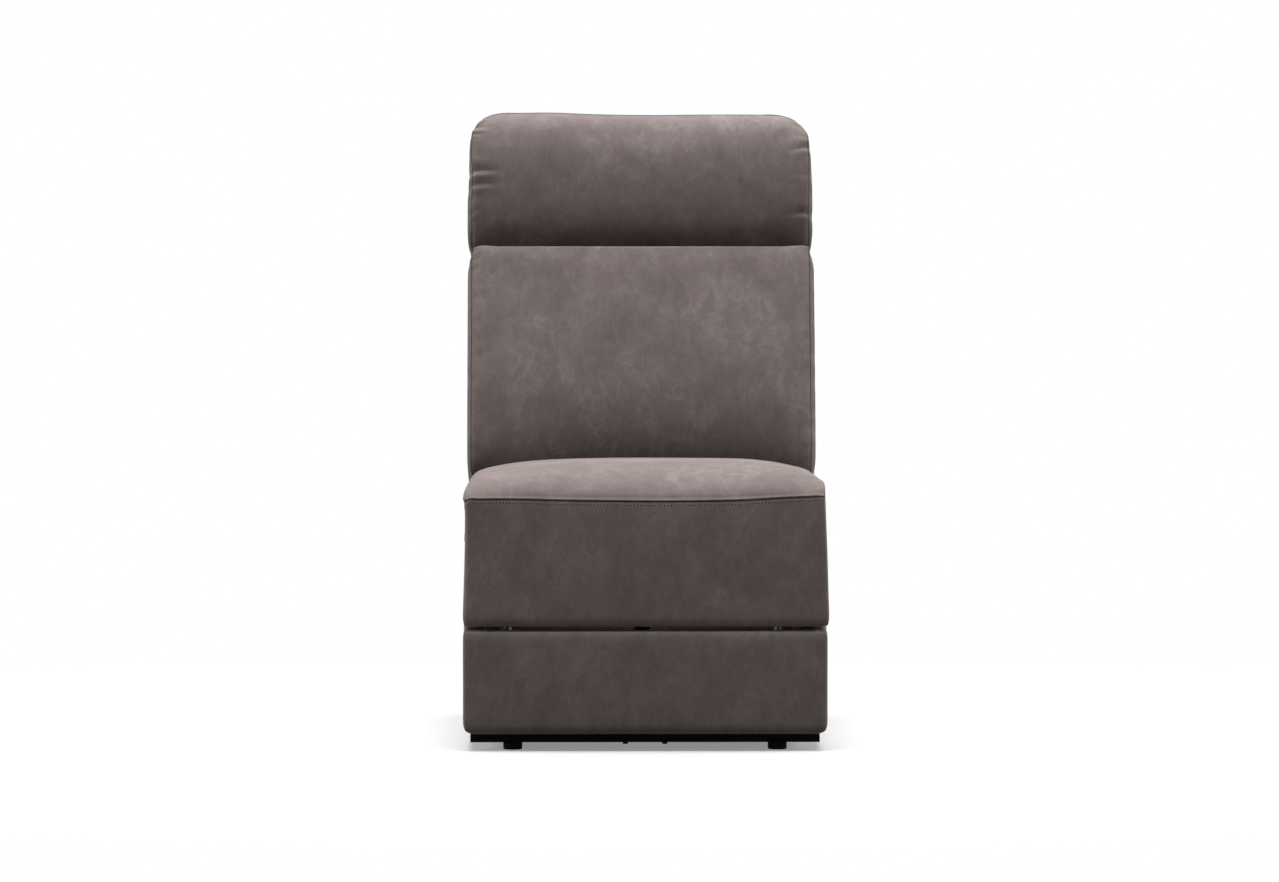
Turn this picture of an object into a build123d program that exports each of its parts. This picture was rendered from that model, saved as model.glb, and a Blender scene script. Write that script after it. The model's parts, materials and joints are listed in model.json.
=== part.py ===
"""Armless power recliner: one full-width module of a sofa, closed, as photographed.

Millimetres. +Z is up, the seat's front faces -Y and +X is to the viewer's right. The origin is on the
floor, under the middle of the object's overall width and depth.
"""

from build123d import *
from math import atan2, cos, degrees, hypot, radians, sin
import os

os.makedirs("parts", exist_ok=True)

# ---------------------------------------------------------------- overall form
front_y = -460.0  # face of the footrest pad and the seat's front border
front_width = 610.0
seat_depth = 535.0  # front to the face of the back
seat_crown_z = 480.0
back_lean = 17.0  # degrees from upright
back_height = 388.0  # along the lean, seat level to the split under the headrest
headrest_height = 250.0
split_gap = 7.0  # between back and headrest
head_corner = 42.0  # rounding of the headrest's top corners, seen from the front
back_width = front_width
back_face_y = front_y + seat_depth

# ---------------------------------------------------------------- clearances
soft_gap = 0.3  # a soft piece against what carries it
layer_gap = 1.0  # between neighbouring steel links
swing_gap = 0.5  # between a swing link and the plates beside it
pin_clearance = 0.05  # radial, at every pivot
open_pivot_clearance = 4.0  # radial, where the closed linkage is opened

# ---------------------------------------------------------------- base
rail_height = 50.0
rail_bottom_z = 12.0
front_rail_inset = 12.0  # each end, behind the pad's ends
front_rail_setback = 47.0  # front face behind the front of the pad
front_rail_thickness = 20.0
side_rail_thickness = 22.0
rear_rail_thickness = 20.0
base_overhang = 275.0  # behind the face of the back
base_rear_y = back_face_y + base_overhang  # inner face of the upholstered rear panel
panel_thickness = 25.0
panel_inset = 3.0
panel_outer_x = front_width / 2 - panel_inset
panel_drop = 85.0  # top edge below the seat's crown
panel_top_z = seat_crown_z - panel_drop
panel_bottom_z = 30.0
panel_setback = 46.0  # front end behind the front of the pad
panel_notch_lead = 9.0  # where the side panel drops, in front of the back, to clear it as it reclines
panel_notch_depth = 103.0
panel_notch_y = back_face_y - panel_notch_lead
panel_notch_z = panel_top_z - panel_notch_depth
rear_panel_thickness = 24.0
foot_diameter = 32.0
foot_inset = 83.0
cross_rail_lead = 35.0  # in front of the face of the back
cross_rail_y = back_face_y - cross_rail_lead
cross_rail_width = 40.0
cross_rail_height = 40.0

# ---------------------------------------------------------------- steel links, from outside to inside
steel = 4.0
pin_radius = 5.0
link_width = 26.0
guide_width = 28.0
base_plate_outer = panel_outer_x - panel_thickness - side_rail_thickness
base_plate_inner = base_plate_outer - steel
swing_outer = base_plate_inner - swing_gap
swing_inner = swing_outer - steel
seat_plate_outer = swing_inner - swing_gap
seat_plate_inner = seat_plate_outer - steel
arm_outer = seat_plate_inner - layer_gap
arm_inner = arm_outer - steel
long_outer = arm_inner - layer_gap
long_inner = long_outer - steel
guide_outer = long_inner - layer_gap
guide_inner = guide_outer - steel

# Swing links: a parallel pair on each side that carries the seat.
swing_length = 130.0
swing_lean = 18.0  # degrees, top towards the rear when upright
swing_base_z = 150.0
front_swing_setback = 295.0
rear_swing_overhang = 60.0  # behind the face of the back
front_swing_y = front_y + front_swing_setback
rear_swing_y = back_face_y + rear_swing_overhang
swing_width = 28.0

# Footrest linkage in the closed position. Setbacks are from the front, drops from the seat's crown.
arm_pivot_setback = 266.0
arm_pivot_drop = 169.0
arm_pivot = (front_y + arm_pivot_setback, seat_crown_z - arm_pivot_drop)
arm_length = 273.0
arm_angle = -47.0
pad_pivot_setback = 55.0
pad_pivot_z = 190.0
pad_pivot = (front_y + pad_pivot_setback, pad_pivot_z)
guide_pivot_setback = 220.0
guide_pivot_drop = 165.0
guide_pivot = (front_y + guide_pivot_setback, seat_crown_z - guide_pivot_drop)
guide_along = 59.0  # guide's open pivot, along the long link from its rear end
guide_above = 10.0
guide_eye_offset = (0.033, -0.562)  # guide's open eye off its pin at rest, which evens out the pin's play
arm_tube_share = 0.5
long_tube_share = 0.8
tube_radius = 10.0

# ---------------------------------------------------------------- seat
seat_rail_height = 55.0
seat_rail_drop = 80.0
seat_rail_top_z = seat_crown_z - seat_rail_drop
seat_rail_bottom_z = seat_rail_top_z - seat_rail_height
seat_rail_thickness = 24.0
seat_rail_lead = 9.0  # rear end in front of the face of the back
seat_rail_rear_y = back_face_y - seat_rail_lead
webbing_thickness = 2.0
seat_cushion_rear_gap = 18.0
seat_crown = 28.0  # rise of the cushion's middle over its long edges
seat_front_drop = 61.0  # from the crown to the seam at the front border
seat_edge_z = seat_crown_z - seat_crown
seat_front_edge_z = seat_crown_z - seat_front_drop
seat_shoulder = 16.0  # rounding of the cushion's long top edges
border_bottom_z = 209.0
border_pad_thickness = 26.0
board_thickness = 12.0  # plywood behind the border and the footrest pad
border_board_bottom_z = 225.0
back_hinge_overhang = 90.0
back_hinge_drop = 85.0
back_hinge = (back_face_y + back_hinge_overhang, seat_crown_z - back_hinge_drop)

# ---------------------------------------------------------------- footrest
pad_bottom_z = 28.0
pad_top_z = 200.0
pad_thickness = 28.0
pad_board_inset = 8.0

# ---------------------------------------------------------------- back and headrest, across the lean
back_cushion_thickness = 200.0
post_depth = 40.0
post_width = 21.5
back_total = 283.6
skin = 12.0
back_bottom = -30.0
rear_skin_bottom = 6.0
wing_thickness = 4.0
wing_reach_y = 60.0  # in front of the back hinge
wing_bottom_z = 250.0
cushion_bottom = -40.0
back_foot_rounding = 70.0  # where the back cushion curves under, above the seat
headrest_pivot_depth = 65.0
headrest_foam = 132.0
headrest_reach = 30.0  # how far its face stands in front of the back's
headrest_reach_height = 198.0  # of that foremost line, above the cushion's bottom
headrest_chin = (18.0, 55.0)  # depth and height where the face turns under
headrest_foot = 70.0  # depth where the roll ends at the bottom
headrest_board_thickness = 15.0
headrest_top_depth = 190.0
pocket_gap = 2.0

# ---------------------------------------------------------------- motors, power inlet and switch
track_half_width = 14.0
track_height = 24.0
track_wall = 2.5
footrest_track_drop = 73.0  # below the seat's rails
footrest_track_z = seat_rail_bottom_z - footrest_track_drop
recline_track_z = 74.0
sleeve_wall = 6.0
sleeve_length = 48.0
sliding_gap = 0.5
fork_wall = 8.0
fork_half_width = 12.0
fork_gap = 6.0  # between the fork and the tube it pushes: the tube's path isn't quite even
fork_lead = 2.0  # the footrest's fork stands this far ahead of its tube at rest, which halves that error
gearbox_half_width = 30.0
gearbox_length = 46.0
gearbox_height = 60.0
motor_radius = 27.0
motor_length = 95.0
inlet_x = -150.0
inlet_z = 80.0
inlet_radius = 9.0
inlet_bore = 2.8
switch_setback = 160.0
switch_drop = 43.0  # below the side panel's top
switch_y = front_y + switch_setback
switch_z = panel_top_z - switch_drop
switch_length = 70.0
switch_width = 26.0
switch_depth = 12.0
switch_proud = 1.0
button_radius = 8.0
button_spacing = 32.0
button_gap = 0.3
button_travel = 2.0
button_proud = 1.5
button_length = 8.0


def polar(start, length, angle):
    """Point at a length and angle from start, in the (y, z) plane."""
    return (start[0] + length * cos(radians(angle)), start[1] + length * sin(radians(angle)))


def save(part, name):
    part.label = name
    export_step(part, f"parts/{name}.step")


def save_group(solids, name):
    """Several separate solids that one node holds."""
    group = Compound(children=list(solids))
    group.label = name
    export_step(group, f"parts/{name}.step")


def save_pair(part, name):
    """The right-hand piece and its mirror image, in one node."""
    save_group((part, mirror(part, about=Plane.YZ)), name)


def box_part(x, y, z, rounding=0.0):
    """A block from three (low, high) pairs, its edges rounded."""
    with BuildPart() as block:
        with BuildSketch(Plane.XY.offset(z[0])):
            with Locations(((x[0] + x[1]) / 2, (y[0] + y[1]) / 2)):
                Rectangle(x[1] - x[0], y[1] - y[0])
        extrude(amount=z[1] - z[0])
        if rounding:
            fillet(block.edges(), rounding)
    return block.part


def flat_link(inner, thickness, width, start, end, bore_radii):
    """A flat bar between two pivots on both sides of the object, bored at both ends."""
    length = hypot(end[0] - start[0], end[1] - start[1])
    turn = degrees(atan2(end[1] - start[1], end[0] - start[0]))
    with BuildPart() as link:
        with BuildSketch(Plane.YZ.offset(inner)):
            with Locations(((start[0] + end[0]) / 2, (start[1] + end[1]) / 2)):
                SlotCenterToCenter(length, width, rotation=turn)
            for centre, radius in zip((start, end), bore_radii):
                if radius:
                    with Locations(centre):
                        Circle(radius, mode=Mode.SUBTRACT)
        extrude(amount=thickness)
        mirror(about=Plane.YZ)
    return link.part


def cross_tube(centre, half_length, radius, wall=2.0):
    """A round tube across the object."""
    with BuildPart() as tube:
        with BuildSketch(Plane.YZ.offset(-half_length)):
            with Locations(centre):
                Circle(radius)
                Circle(radius - wall, mode=Mode.SUBTRACT)
        extrude(amount=2 * half_length)
    return tube.part


def gear_motor(y, z, out):
    """A gearbox block with a round motor lying across the object; y is where its track starts."""
    ends = sorted((y, y + out * gearbox_length))
    with BuildPart() as unit:
        with BuildSketch(Plane.XY.offset(z - gearbox_height / 2)):
            with Locations((0, (ends[0] + ends[1]) / 2)):
                RectangleRounded(2 * gearbox_half_width, gearbox_length, 6)
        extrude(amount=gearbox_height)
        chamfer(unit.faces().sort_by(Axis.Z)[-1].edges(), 3)
        with BuildSketch(Plane.YZ.offset(gearbox_half_width - 2)):
            with Locations(((ends[0] + ends[1]) / 2, z)):
                Circle(motor_radius - 4)
        extrude(amount=motor_length)
        with BuildSketch(Plane.YZ.offset(gearbox_half_width + 10)):
            with Locations(((ends[0] + ends[1]) / 2, z)):
                Circle(motor_radius - 4.5)
        extrude(amount=motor_length - 22)
    return unit.part


def track(y, z):
    """An upright C-section rail along the object between two y values, standing on z."""
    with BuildPart() as rail:
        with BuildSketch(Plane.XZ.offset(-y[1])):
            with Locations((0, z + track_height / 2)):
                Rectangle(2 * track_half_width, track_height)
                Rectangle(2 * (track_half_width - track_wall), track_height - 2 * track_wall, mode=Mode.SUBTRACT)
            with Locations((0, z + track_height)):
                Rectangle(track_half_width, 3 * track_wall, mode=Mode.SUBTRACT)
        extrude(amount=y[1] - y[0])
    return rail.part


def fork_carriage(y, z, tube_z, fork_end):
    """A sleeve that slides on a track, with a fork that straddles the tube at height tube_z."""
    low, high = z - sleeve_wall, z + track_height + sleeve_wall
    start = low if fork_end < tube_z else high
    with BuildPart() as carriage:
        with BuildSketch(Plane.XZ.offset(-y - sleeve_length / 2)):
            with Locations((0, z + track_height / 2)):
                Rectangle(2 * (track_half_width + sleeve_wall), high - low)
                Rectangle(2 * (track_half_width + sliding_gap), track_height + 2 * sliding_gap, mode=Mode.SUBTRACT)
        extrude(amount=sleeve_length)
        with BuildSketch(Plane.YZ.offset(-fork_half_width)):
            for way in (-1, 1):
                with Locations((y + way * (tube_radius + fork_gap + fork_wall / 2), (start + fork_end) / 2)):
                    Rectangle(fork_wall, abs(start - fork_end))
        extrude(amount=2 * fork_half_width)
    return carriage.part


# ================================================================ base
front_rail_y = front_y + front_rail_setback
foot_x = front_width / 2 - foot_inset
panel_front_y = front_y + panel_setback
front_rail_rear_y = front_rail_y + front_rail_thickness
side_rail_outer = panel_outer_x - panel_thickness
side_rail_inner = side_rail_outer - side_rail_thickness
rail_top_z = rail_bottom_z + rail_height
rail_span = (rail_bottom_z, rail_top_z)
rail_bolt_x = 33.0
rail_bolt_radius = 3.5
bolt_y = (front_rail_y + front_rail_rear_y) / 2

with BuildPart() as front_rail:
    with BuildSketch(Plane.XY.offset(rail_bottom_z)):
        with Locations((0, bolt_y)):
            Rectangle(front_width - 2 * front_rail_inset, front_rail_thickness)
            with Locations((-rail_bolt_x, 0), (rail_bolt_x, 0)):
                Circle(rail_bolt_radius, mode=Mode.SUBTRACT)
    extrude(amount=rail_height)
    chamfer(front_rail.edges().filter_by(Axis.X), 1.5)
save(front_rail.part, "front_rail")

save(
    box_part(
        (-side_rail_outer, side_rail_outer),
        (base_rear_y - rear_rail_thickness, base_rear_y),
        rail_span,
    ),
    "rear_rail",
)
save_pair(
    box_part(
        (side_rail_inner, side_rail_outer),
        (front_rail_rear_y, base_rear_y - rear_rail_thickness),
        rail_span,
    ),
    "side_rails",
)

save(
    box_part(
        (-base_plate_inner, base_plate_inner),
        (cross_rail_y, cross_rail_y + cross_rail_width),
        (rail_bottom_z, rail_bottom_z + cross_rail_height),
    ),
    "cross_rail",
)

# Round feet, each a tapered glide under a rail.
rear_foot_y = base_rear_y - rear_rail_thickness / 2
with BuildPart() as feet:
    with BuildSketch(Plane.XY):
        with Locations(*((sx * foot_x, y) for sx in (-1, 1) for y in (bolt_y, rear_foot_y))):
            Circle(foot_diameter / 2)
    extrude(amount=rail_bottom_z)
    chamfer(feet.edges().group_by(Axis.Z)[0], 1.5)
save(feet.part, "feet")

# Upholstered side panels, their rear top cut away so that the back can swing down between rail and seat.
with BuildPart() as side_panel:
    with BuildSketch(Plane.YZ.offset(side_rail_outer)):
        with BuildLine():
            Polyline(
                (panel_front_y, rail_top_z + 1),
                (front_rail_rear_y, rail_top_z + 1),
                (front_rail_rear_y, panel_bottom_z),
                (base_rear_y, panel_bottom_z),
                (base_rear_y, panel_notch_z),
                (panel_notch_y + 40, panel_notch_z),
                (panel_notch_y, panel_top_z),
                (panel_front_y, panel_top_z),
                close=True,
            )
        make_face()
    extrude(amount=panel_thickness)
    fillet(side_panel.edges().filter_by(Axis.X).group_by(Axis.Z)[-1], 12)
    fillet(side_panel.faces().sort_by(Axis.X)[-1].edges(), 5)
save(side_panel.part, "side_panel_right")

# The sitter's right-hand panel has a pocket for the switch.
with BuildPart() as switched_panel:
    add(mirror(side_panel.part, about=Plane.YZ))
    with BuildSketch(Plane.YZ.offset(-panel_outer_x)):
        with Locations((switch_y, switch_z)):
            SlotOverall(switch_length, switch_width)
    extrude(amount=switch_depth, mode=Mode.SUBTRACT)
save(switched_panel.part, "side_panel_left")

switch_face = -panel_outer_x - switch_proud
button_places = ((switch_y - button_spacing / 2, switch_z), (switch_y + button_spacing / 2, switch_z))
with BuildPart() as switch_housing:
    with BuildSketch(Plane.YZ.offset(switch_face)):
        with Locations((switch_y, switch_z)):
            SlotOverall(switch_length, switch_width)
    extrude(amount=switch_depth + switch_proud)
    chamfer(switch_housing.faces().sort_by(Axis.X)[0].edges(), 0.8)
    with BuildSketch(Plane.YZ.offset(switch_face)):
        with Locations(*button_places):
            Circle(button_radius + button_gap)
    extrude(amount=button_length - button_proud + button_travel + 0.5, mode=Mode.SUBTRACT)
save(switch_housing.part, "switch_housing")
for place, name in zip(button_places, ("button_open", "button_close")):
    with BuildPart() as button:
        with BuildSketch(Plane.YZ.offset(switch_face - button_proud)):
            with Locations(place):
                Circle(button_radius)
        extrude(amount=button_length)
        chamfer(button.faces().sort_by(Axis.X)[0].edges(), 0.8)
    save(button.part, name)

rear_panel_y = base_rear_y + rear_panel_thickness
with BuildPart() as rear_panel:
    with BuildSketch(Plane.XY.offset(panel_bottom_z)):
        with Locations((0, (base_rear_y + rear_panel_y) / 2)):
            Rectangle(2 * panel_outer_x, rear_panel_thickness)
    extrude(amount=panel_top_z - panel_bottom_z)
    fillet(rear_panel.faces().sort_by(Axis.Y)[-1].edges(), 6)
    with BuildSketch(Plane.XZ.offset(-rear_panel_y)):
        with Locations((inlet_x, inlet_z)):
            Circle(inlet_radius)
    extrude(amount=rear_panel_thickness, mode=Mode.SUBTRACT)
save(rear_panel.part, "rear_panel")

# Low-voltage power inlet: a barrel in the rear panel with a flange and a centre bore.
with BuildPart() as power_inlet:
    with BuildSketch(Plane.XZ.offset(-rear_panel_y)):
        with Locations((inlet_x, inlet_z)):
            Circle(inlet_radius)
    extrude(amount=rear_panel_thickness)
    with BuildSketch(Plane.XZ.offset(-rear_panel_y - 2)):
        with Locations((inlet_x, inlet_z)):
            Circle(inlet_radius + 3)
    extrude(amount=2)
    with BuildSketch(Plane.XZ.offset(-rear_panel_y - 2)):
        with Locations((inlet_x, inlet_z)):
            Circle(inlet_bore)
    extrude(amount=14, mode=Mode.SUBTRACT)
save(power_inlet.part, "power_inlet")

# Steel base plates: a foot along the side rail and two ears that carry the swing links.
swing_feet = ((front_swing_y, swing_base_z), (rear_swing_y, swing_base_z))
swing_tops = tuple(polar(foot, swing_length, 90 - swing_lean) for foot in swing_feet)
ear_half = 32.0
with BuildPart() as base_plates:
    with BuildSketch(Plane.YZ.offset(base_plate_inner)):
        with BuildLine():
            Polyline(
                (front_swing_y - 130, rail_bottom_z + 2),
                (rear_swing_y + 100, rail_bottom_z + 2),
                (rear_swing_y + 100, rail_top_z),
                (rear_swing_y + ear_half, rail_top_z),
                (rear_swing_y + swing_width / 2, swing_base_z),
                (rear_swing_y - swing_width / 2, swing_base_z),
                (rear_swing_y - ear_half, rail_top_z),
                (front_swing_y + ear_half, rail_top_z),
                (front_swing_y + swing_width / 2, swing_base_z),
                (front_swing_y - swing_width / 2, swing_base_z),
                (front_swing_y - ear_half, rail_top_z),
                (front_swing_y - 130, rail_top_z),
                close=True,
            )
        make_face()
        with Locations(*swing_feet):
            Circle(swing_width / 2)
    extrude(amount=steel)
    # Riveted pins stand on the plates and pass through the swing links' lower eyes.
    with BuildSketch(Plane.YZ.offset(swing_inner - swing_gap + 0.1)):
        with Locations(*swing_feet):
            Circle(pin_radius)
    extrude(amount=base_plate_inner - swing_inner + swing_gap)
    mirror(about=Plane.YZ)
save(base_plates.part, "base_plates")

# ================================================================ swing links
eye = pin_radius + pin_clearance
save(
    flat_link(swing_inner, steel, swing_width, swing_feet[0], swing_tops[0], (eye, eye)),
    "front_swing_links",
)
rear_top_eye = pin_radius + 2 * pin_clearance
save(
    flat_link(swing_inner, steel, swing_width, swing_feet[1], swing_tops[1], (eye, rear_top_eye)),
    "rear_swing_links",
)
swing_tube_reach = 60.0
swing_tube = polar(swing_feet[1], swing_tube_reach, 90 - swing_lean)
save(cross_tube(swing_tube, swing_inner, tube_radius), "swing_cross_tube")

# ================================================================ recline actuator, on the base
bracket_plate = 4.0
recline_motor_y = front_rail_rear_y + bracket_plate
recline_track_mid_z = recline_track_z + track_height / 2
track_rear_y = swing_tube[0] + sleeve_length / 2 + 8.0
save(gear_motor(recline_motor_y, recline_track_mid_z, 1), "recline_motor")
save(track((recline_motor_y + gearbox_length, track_rear_y), recline_track_z), "recline_track")
save(
    fork_carriage(swing_tube[0], recline_track_z, swing_tube[1], swing_tube[1] + tube_radius + 4),
    "recline_carriage",
)

# Its front bracket, an angle over the front rail, and a saddle on the cross rail.
with BuildPart() as recline_mounts:
    with BuildSketch(Plane.YZ.offset(-rail_bolt_x - 12)):
        with BuildLine():
            Polyline(
                (front_rail_y, rail_top_z),
                (front_rail_y, rail_top_z + bracket_plate),
                (recline_motor_y, rail_top_z + bracket_plate),
                (recline_motor_y, rail_bottom_z + 8),
                (front_rail_rear_y, rail_bottom_z + 8),
                (front_rail_rear_y, rail_top_z),
                close=True,
            )
        make_face()
    extrude(amount=2 * rail_bolt_x + 24)
    with BuildSketch(Plane.XY.offset(rail_top_z)):
        with Locations((-rail_bolt_x, bolt_y), (rail_bolt_x, bolt_y)):
            Circle(rail_bolt_radius)
    extrude(amount=bracket_plate, mode=Mode.SUBTRACT)
    with BuildSketch(Plane.XY.offset(rail_bottom_z + cross_rail_height)):
        with Locations((0, cross_rail_y + cross_rail_width / 2)):
            Rectangle(2 * track_half_width, cross_rail_width)
    extrude(amount=recline_track_z - rail_bottom_z - cross_rail_height)
save(recline_mounts.part, "recline_mounts")

# The two bolts of the front bracket, whose ends show under the rail.
bolt_end = 3.5
with BuildPart() as rail_bolts:
    with BuildSketch(Plane.XY.offset(rail_bottom_z - bolt_end)):
        with Locations((-rail_bolt_x, bolt_y), (rail_bolt_x, bolt_y)):
            Circle(rail_bolt_radius - 2 * pin_clearance)
    extrude(amount=bolt_end + rail_height + bracket_plate)
    with BuildSketch(Plane.XY.offset(rail_top_z + bracket_plate)):
        with Locations((-rail_bolt_x, bolt_y), (rail_bolt_x, bolt_y)):
            RegularPolygon(6.5, 6)
    extrude(amount=5)
save(rail_bolts.part, "rail_bolts")

# ================================================================ seat
hinge_ear = 13.0
seat_rail_front_y = front_y + border_pad_thickness + board_thickness
with BuildPart() as seat_plates:
    with BuildSketch(Plane.YZ.offset(seat_plate_inner)):
        with BuildLine():
            Polyline(
                (seat_rail_front_y + 40, seat_rail_top_z),
                (seat_rail_front_y + 40, seat_rail_bottom_z),
                (guide_pivot[0] - 30, guide_pivot[1] - 8),
                (arm_pivot[0], arm_pivot[1] - 22),
                (swing_tops[0][0] - 20, swing_tops[0][1] - 12),
                (swing_tops[0][0] + 20, swing_tops[0][1] - 12),
                (swing_tops[0][0] + 50, seat_rail_bottom_z - 25),
                (swing_tops[1][0] - 50, seat_rail_bottom_z - 25),
                (swing_tops[1][0] - 20, swing_tops[1][1] - 12),
                (swing_tops[1][0] + 20, swing_tops[1][1] - 12),
                (back_hinge[0] + 22, back_hinge[1] - 20),
                (back_hinge[0] + hinge_ear, back_hinge[1]),
                (back_hinge[0] - hinge_ear, back_hinge[1]),
                (seat_rail_rear_y + 20, seat_rail_top_z - 20),
                (seat_rail_rear_y, seat_rail_top_z),
                close=True,
            )
        make_face()
        with Locations(back_hinge):
            Circle(hinge_ear)
        with Locations(arm_pivot, guide_pivot, swing_tops[0], swing_tops[1], back_hinge):
            Circle(pin_radius, mode=Mode.SUBTRACT)
    extrude(amount=steel)
    mirror(about=Plane.YZ)
save(seat_plates.part, "seat_plates")

# Pins pressed into the seat plates: arms and guides inside, swing links and back outside.
with BuildPart() as seat_pins:
    for centre, low, high in (
        (arm_pivot, arm_inner - 0.6, seat_plate_outer),
        (guide_pivot, guide_inner - 0.6, seat_plate_outer),
        (swing_tops[0], seat_plate_inner, swing_outer),
        (swing_tops[1], seat_plate_inner, swing_outer),
        (back_hinge, seat_plate_inner, swing_outer + 1.0),
    ):
        with BuildSketch(Plane.YZ.offset(low)):
            with Locations(centre):
                Circle(pin_radius)
        extrude(amount=high - low)
    mirror(about=Plane.YZ)
save(seat_pins.part, "seat_pins")

seat_rail_span = (seat_rail_bottom_z, seat_rail_top_z)
seat_rail_outer = seat_plate_outer + seat_rail_thickness
save_pair(
    box_part(
        (seat_plate_outer, seat_rail_outer),
        (seat_rail_front_y + seat_rail_thickness, seat_rail_rear_y),
        seat_rail_span,
    ),
    "seat_side_rails",
)
save(
    box_part(
        (-seat_rail_outer, seat_rail_outer),
        (seat_rail_front_y, seat_rail_front_y + seat_rail_thickness),
        seat_rail_span,
    ),
    "seat_front_rail",
)
save(
    box_part(
        (-seat_plate_inner, seat_plate_inner),
        (seat_rail_rear_y - seat_rail_thickness, seat_rail_rear_y),
        seat_rail_span,
    ),
    "seat_rear_rail",
)

# Elastic webbing: long straps front to rear, with cross straps on top of them.
strap_width = 50.0
long_straps, cross_straps, back_straps = 6, 4, 4
long_strap_pitch = 2 * (seat_rail_outer - strap_width / 2 - 50.0) / (long_straps - 1)
web_low = seat_rail_top_z
web_mid = web_low + webbing_thickness / 2
web_high = web_low + webbing_thickness
seat_middle_y = (seat_rail_front_y + seat_rail_rear_y) / 2
cross_strap_pitch = (seat_rail_rear_y - seat_rail_front_y - 2 * strap_width - 20.0) / (cross_straps - 1)
with BuildPart() as seat_webbing:
    with BuildSketch(Plane.XY.offset(web_low)):
        with Locations((0, seat_middle_y)):
            with GridLocations(long_strap_pitch, 1, long_straps, 1):
                Rectangle(strap_width, seat_rail_rear_y - seat_rail_front_y)
    extrude(amount=webbing_thickness / 2)
    with BuildSketch(Plane.XY.offset(web_mid)):
        with Locations((0, seat_middle_y)):
            with GridLocations(1, cross_strap_pitch, 1, cross_straps):
                Rectangle(2 * seat_rail_outer, strap_width)
    extrude(amount=webbing_thickness / 2)
save(seat_webbing.part, "seat_webbing")

# Seat cushion: crowned both ways, full width, resting on the webbing, its front edge sewn to the border.
cushion_low_z = web_high + soft_gap
cushion_rear_y = back_face_y - seat_cushion_rear_gap
half_front = front_width / 2
border_rear_y = front_y + border_pad_thickness
with BuildPart() as seat_cushion:
    with BuildSketch(Plane.YZ.offset(-half_front)):
        with BuildLine():
            Polyline(
                (front_y, seat_front_edge_z),
                (border_rear_y, seat_front_edge_z),
                (border_rear_y, cushion_low_z),
                (cushion_rear_y, cushion_low_z),
                (cushion_rear_y, seat_edge_z),
            )
            ThreePointArc(
                (front_y, seat_front_edge_z),
                (front_y + 14, seat_edge_z - 5),
                (front_y + 46, seat_edge_z + 10),
            )
            ThreePointArc(
                (front_y + 46, seat_edge_z + 10),
                ((front_y + cushion_rear_y) / 2, seat_crown_z),
                (cushion_rear_y, seat_edge_z),
            )
        make_face()
    extrude(amount=front_width)
    with BuildSketch(Plane.XZ.offset(-cushion_rear_y - 10)):
        shoulder_z = seat_edge_z - 8
        bend = seat_shoulder * (1 - cos(radians(45)))
        with BuildLine():
            Polyline(
                (-half_front, shoulder_z - seat_shoulder),
                (-half_front, cushion_low_z - 1),
                (half_front, cushion_low_z - 1),
                (half_front, shoulder_z - seat_shoulder),
            )
            for way in (-1, 1):
                ThreePointArc(
                    (way * half_front, shoulder_z - seat_shoulder),
                    (way * (half_front - bend), shoulder_z - bend),
                    (way * (half_front - seat_shoulder), shoulder_z),
                )
            ThreePointArc(
                (-half_front + seat_shoulder, shoulder_z),
                (0, seat_crown_z),
                (half_front - seat_shoulder, shoulder_z),
            )
        make_face()
    extrude(amount=cushion_rear_y + 10 - (front_y - 10), mode=Mode.INTERSECT)
save(seat_cushion.part, "seat_cushion")

# Front border: an upholstered pad on a plywood board screwed to the seat's front rail.
border_top_z = seat_front_edge_z - soft_gap
save(
    box_part(
        (-half_front, half_front),
        (front_y, border_rear_y - soft_gap),
        (border_bottom_z, border_top_z),
        10.0,
    ),
    "front_border_pad",
)
save(
    box_part(
        (-half_front + pad_board_inset, half_front - pad_board_inset),
        (border_rear_y, seat_rail_front_y),
        (border_board_bottom_z, seat_rail_top_z),
    ),
    "front_border_board",
)

# ================================================================ footrest linkage
arm_end = polar(arm_pivot, arm_length, arm_angle)
long_length = hypot(pad_pivot[0] - arm_end[0], pad_pivot[1] - arm_end[1])
long_angle = degrees(atan2(pad_pivot[1] - arm_end[1], pad_pivot[0] - arm_end[0]))
arm_tube = polar(arm_pivot, arm_length * arm_tube_share, arm_angle)
long_tube = polar(arm_end, long_length * long_tube_share, long_angle)
open_pin = polar(polar(arm_end, guide_along, long_angle), guide_above, long_angle + 90)
guide_end = (open_pin[0] + guide_eye_offset[0], open_pin[1] + guide_eye_offset[1])

save(flat_link(arm_inner, steel, link_width, arm_pivot, arm_end, (eye, pin_radius)), "footrest_arms")
save(cross_tube(arm_tube, arm_inner, tube_radius), "arm_cross_tube")
save(flat_link(long_inner, steel, link_width, arm_end, pad_pivot, (eye, pin_radius)), "long_links")
save(cross_tube(long_tube, long_inner, tube_radius), "long_cross_tube")

open_eye = pin_radius + open_pivot_clearance
save(
    flat_link(guide_inner, steel, guide_width, guide_pivot, guide_end, (eye, open_eye)),
    "guide_links",
)

with BuildPart() as arm_pins:
    with BuildSketch(Plane.YZ.offset(long_inner - 0.4)):
        with Locations(arm_end):
            Circle(pin_radius)
    extrude(amount=arm_outer - long_inner + 0.4)
    mirror(about=Plane.YZ)
save(arm_pins.part, "arm_pins")

# Pins of the long links: one carries the pad bracket, one stands in the guide link's open eye.
with BuildPart() as long_pins:
    with BuildSketch(Plane.YZ.offset(long_inner)):
        with Locations(pad_pivot):
            Circle(pin_radius)
    extrude(amount=arm_outer + 0.4 - long_inner)
    with BuildSketch(Plane.YZ.offset(guide_inner)):
        with Locations(open_pin):
            Circle(pin_radius)
    extrude(amount=long_inner - guide_inner)
    mirror(about=Plane.YZ)
save(long_pins.part, "long_pins")

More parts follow.
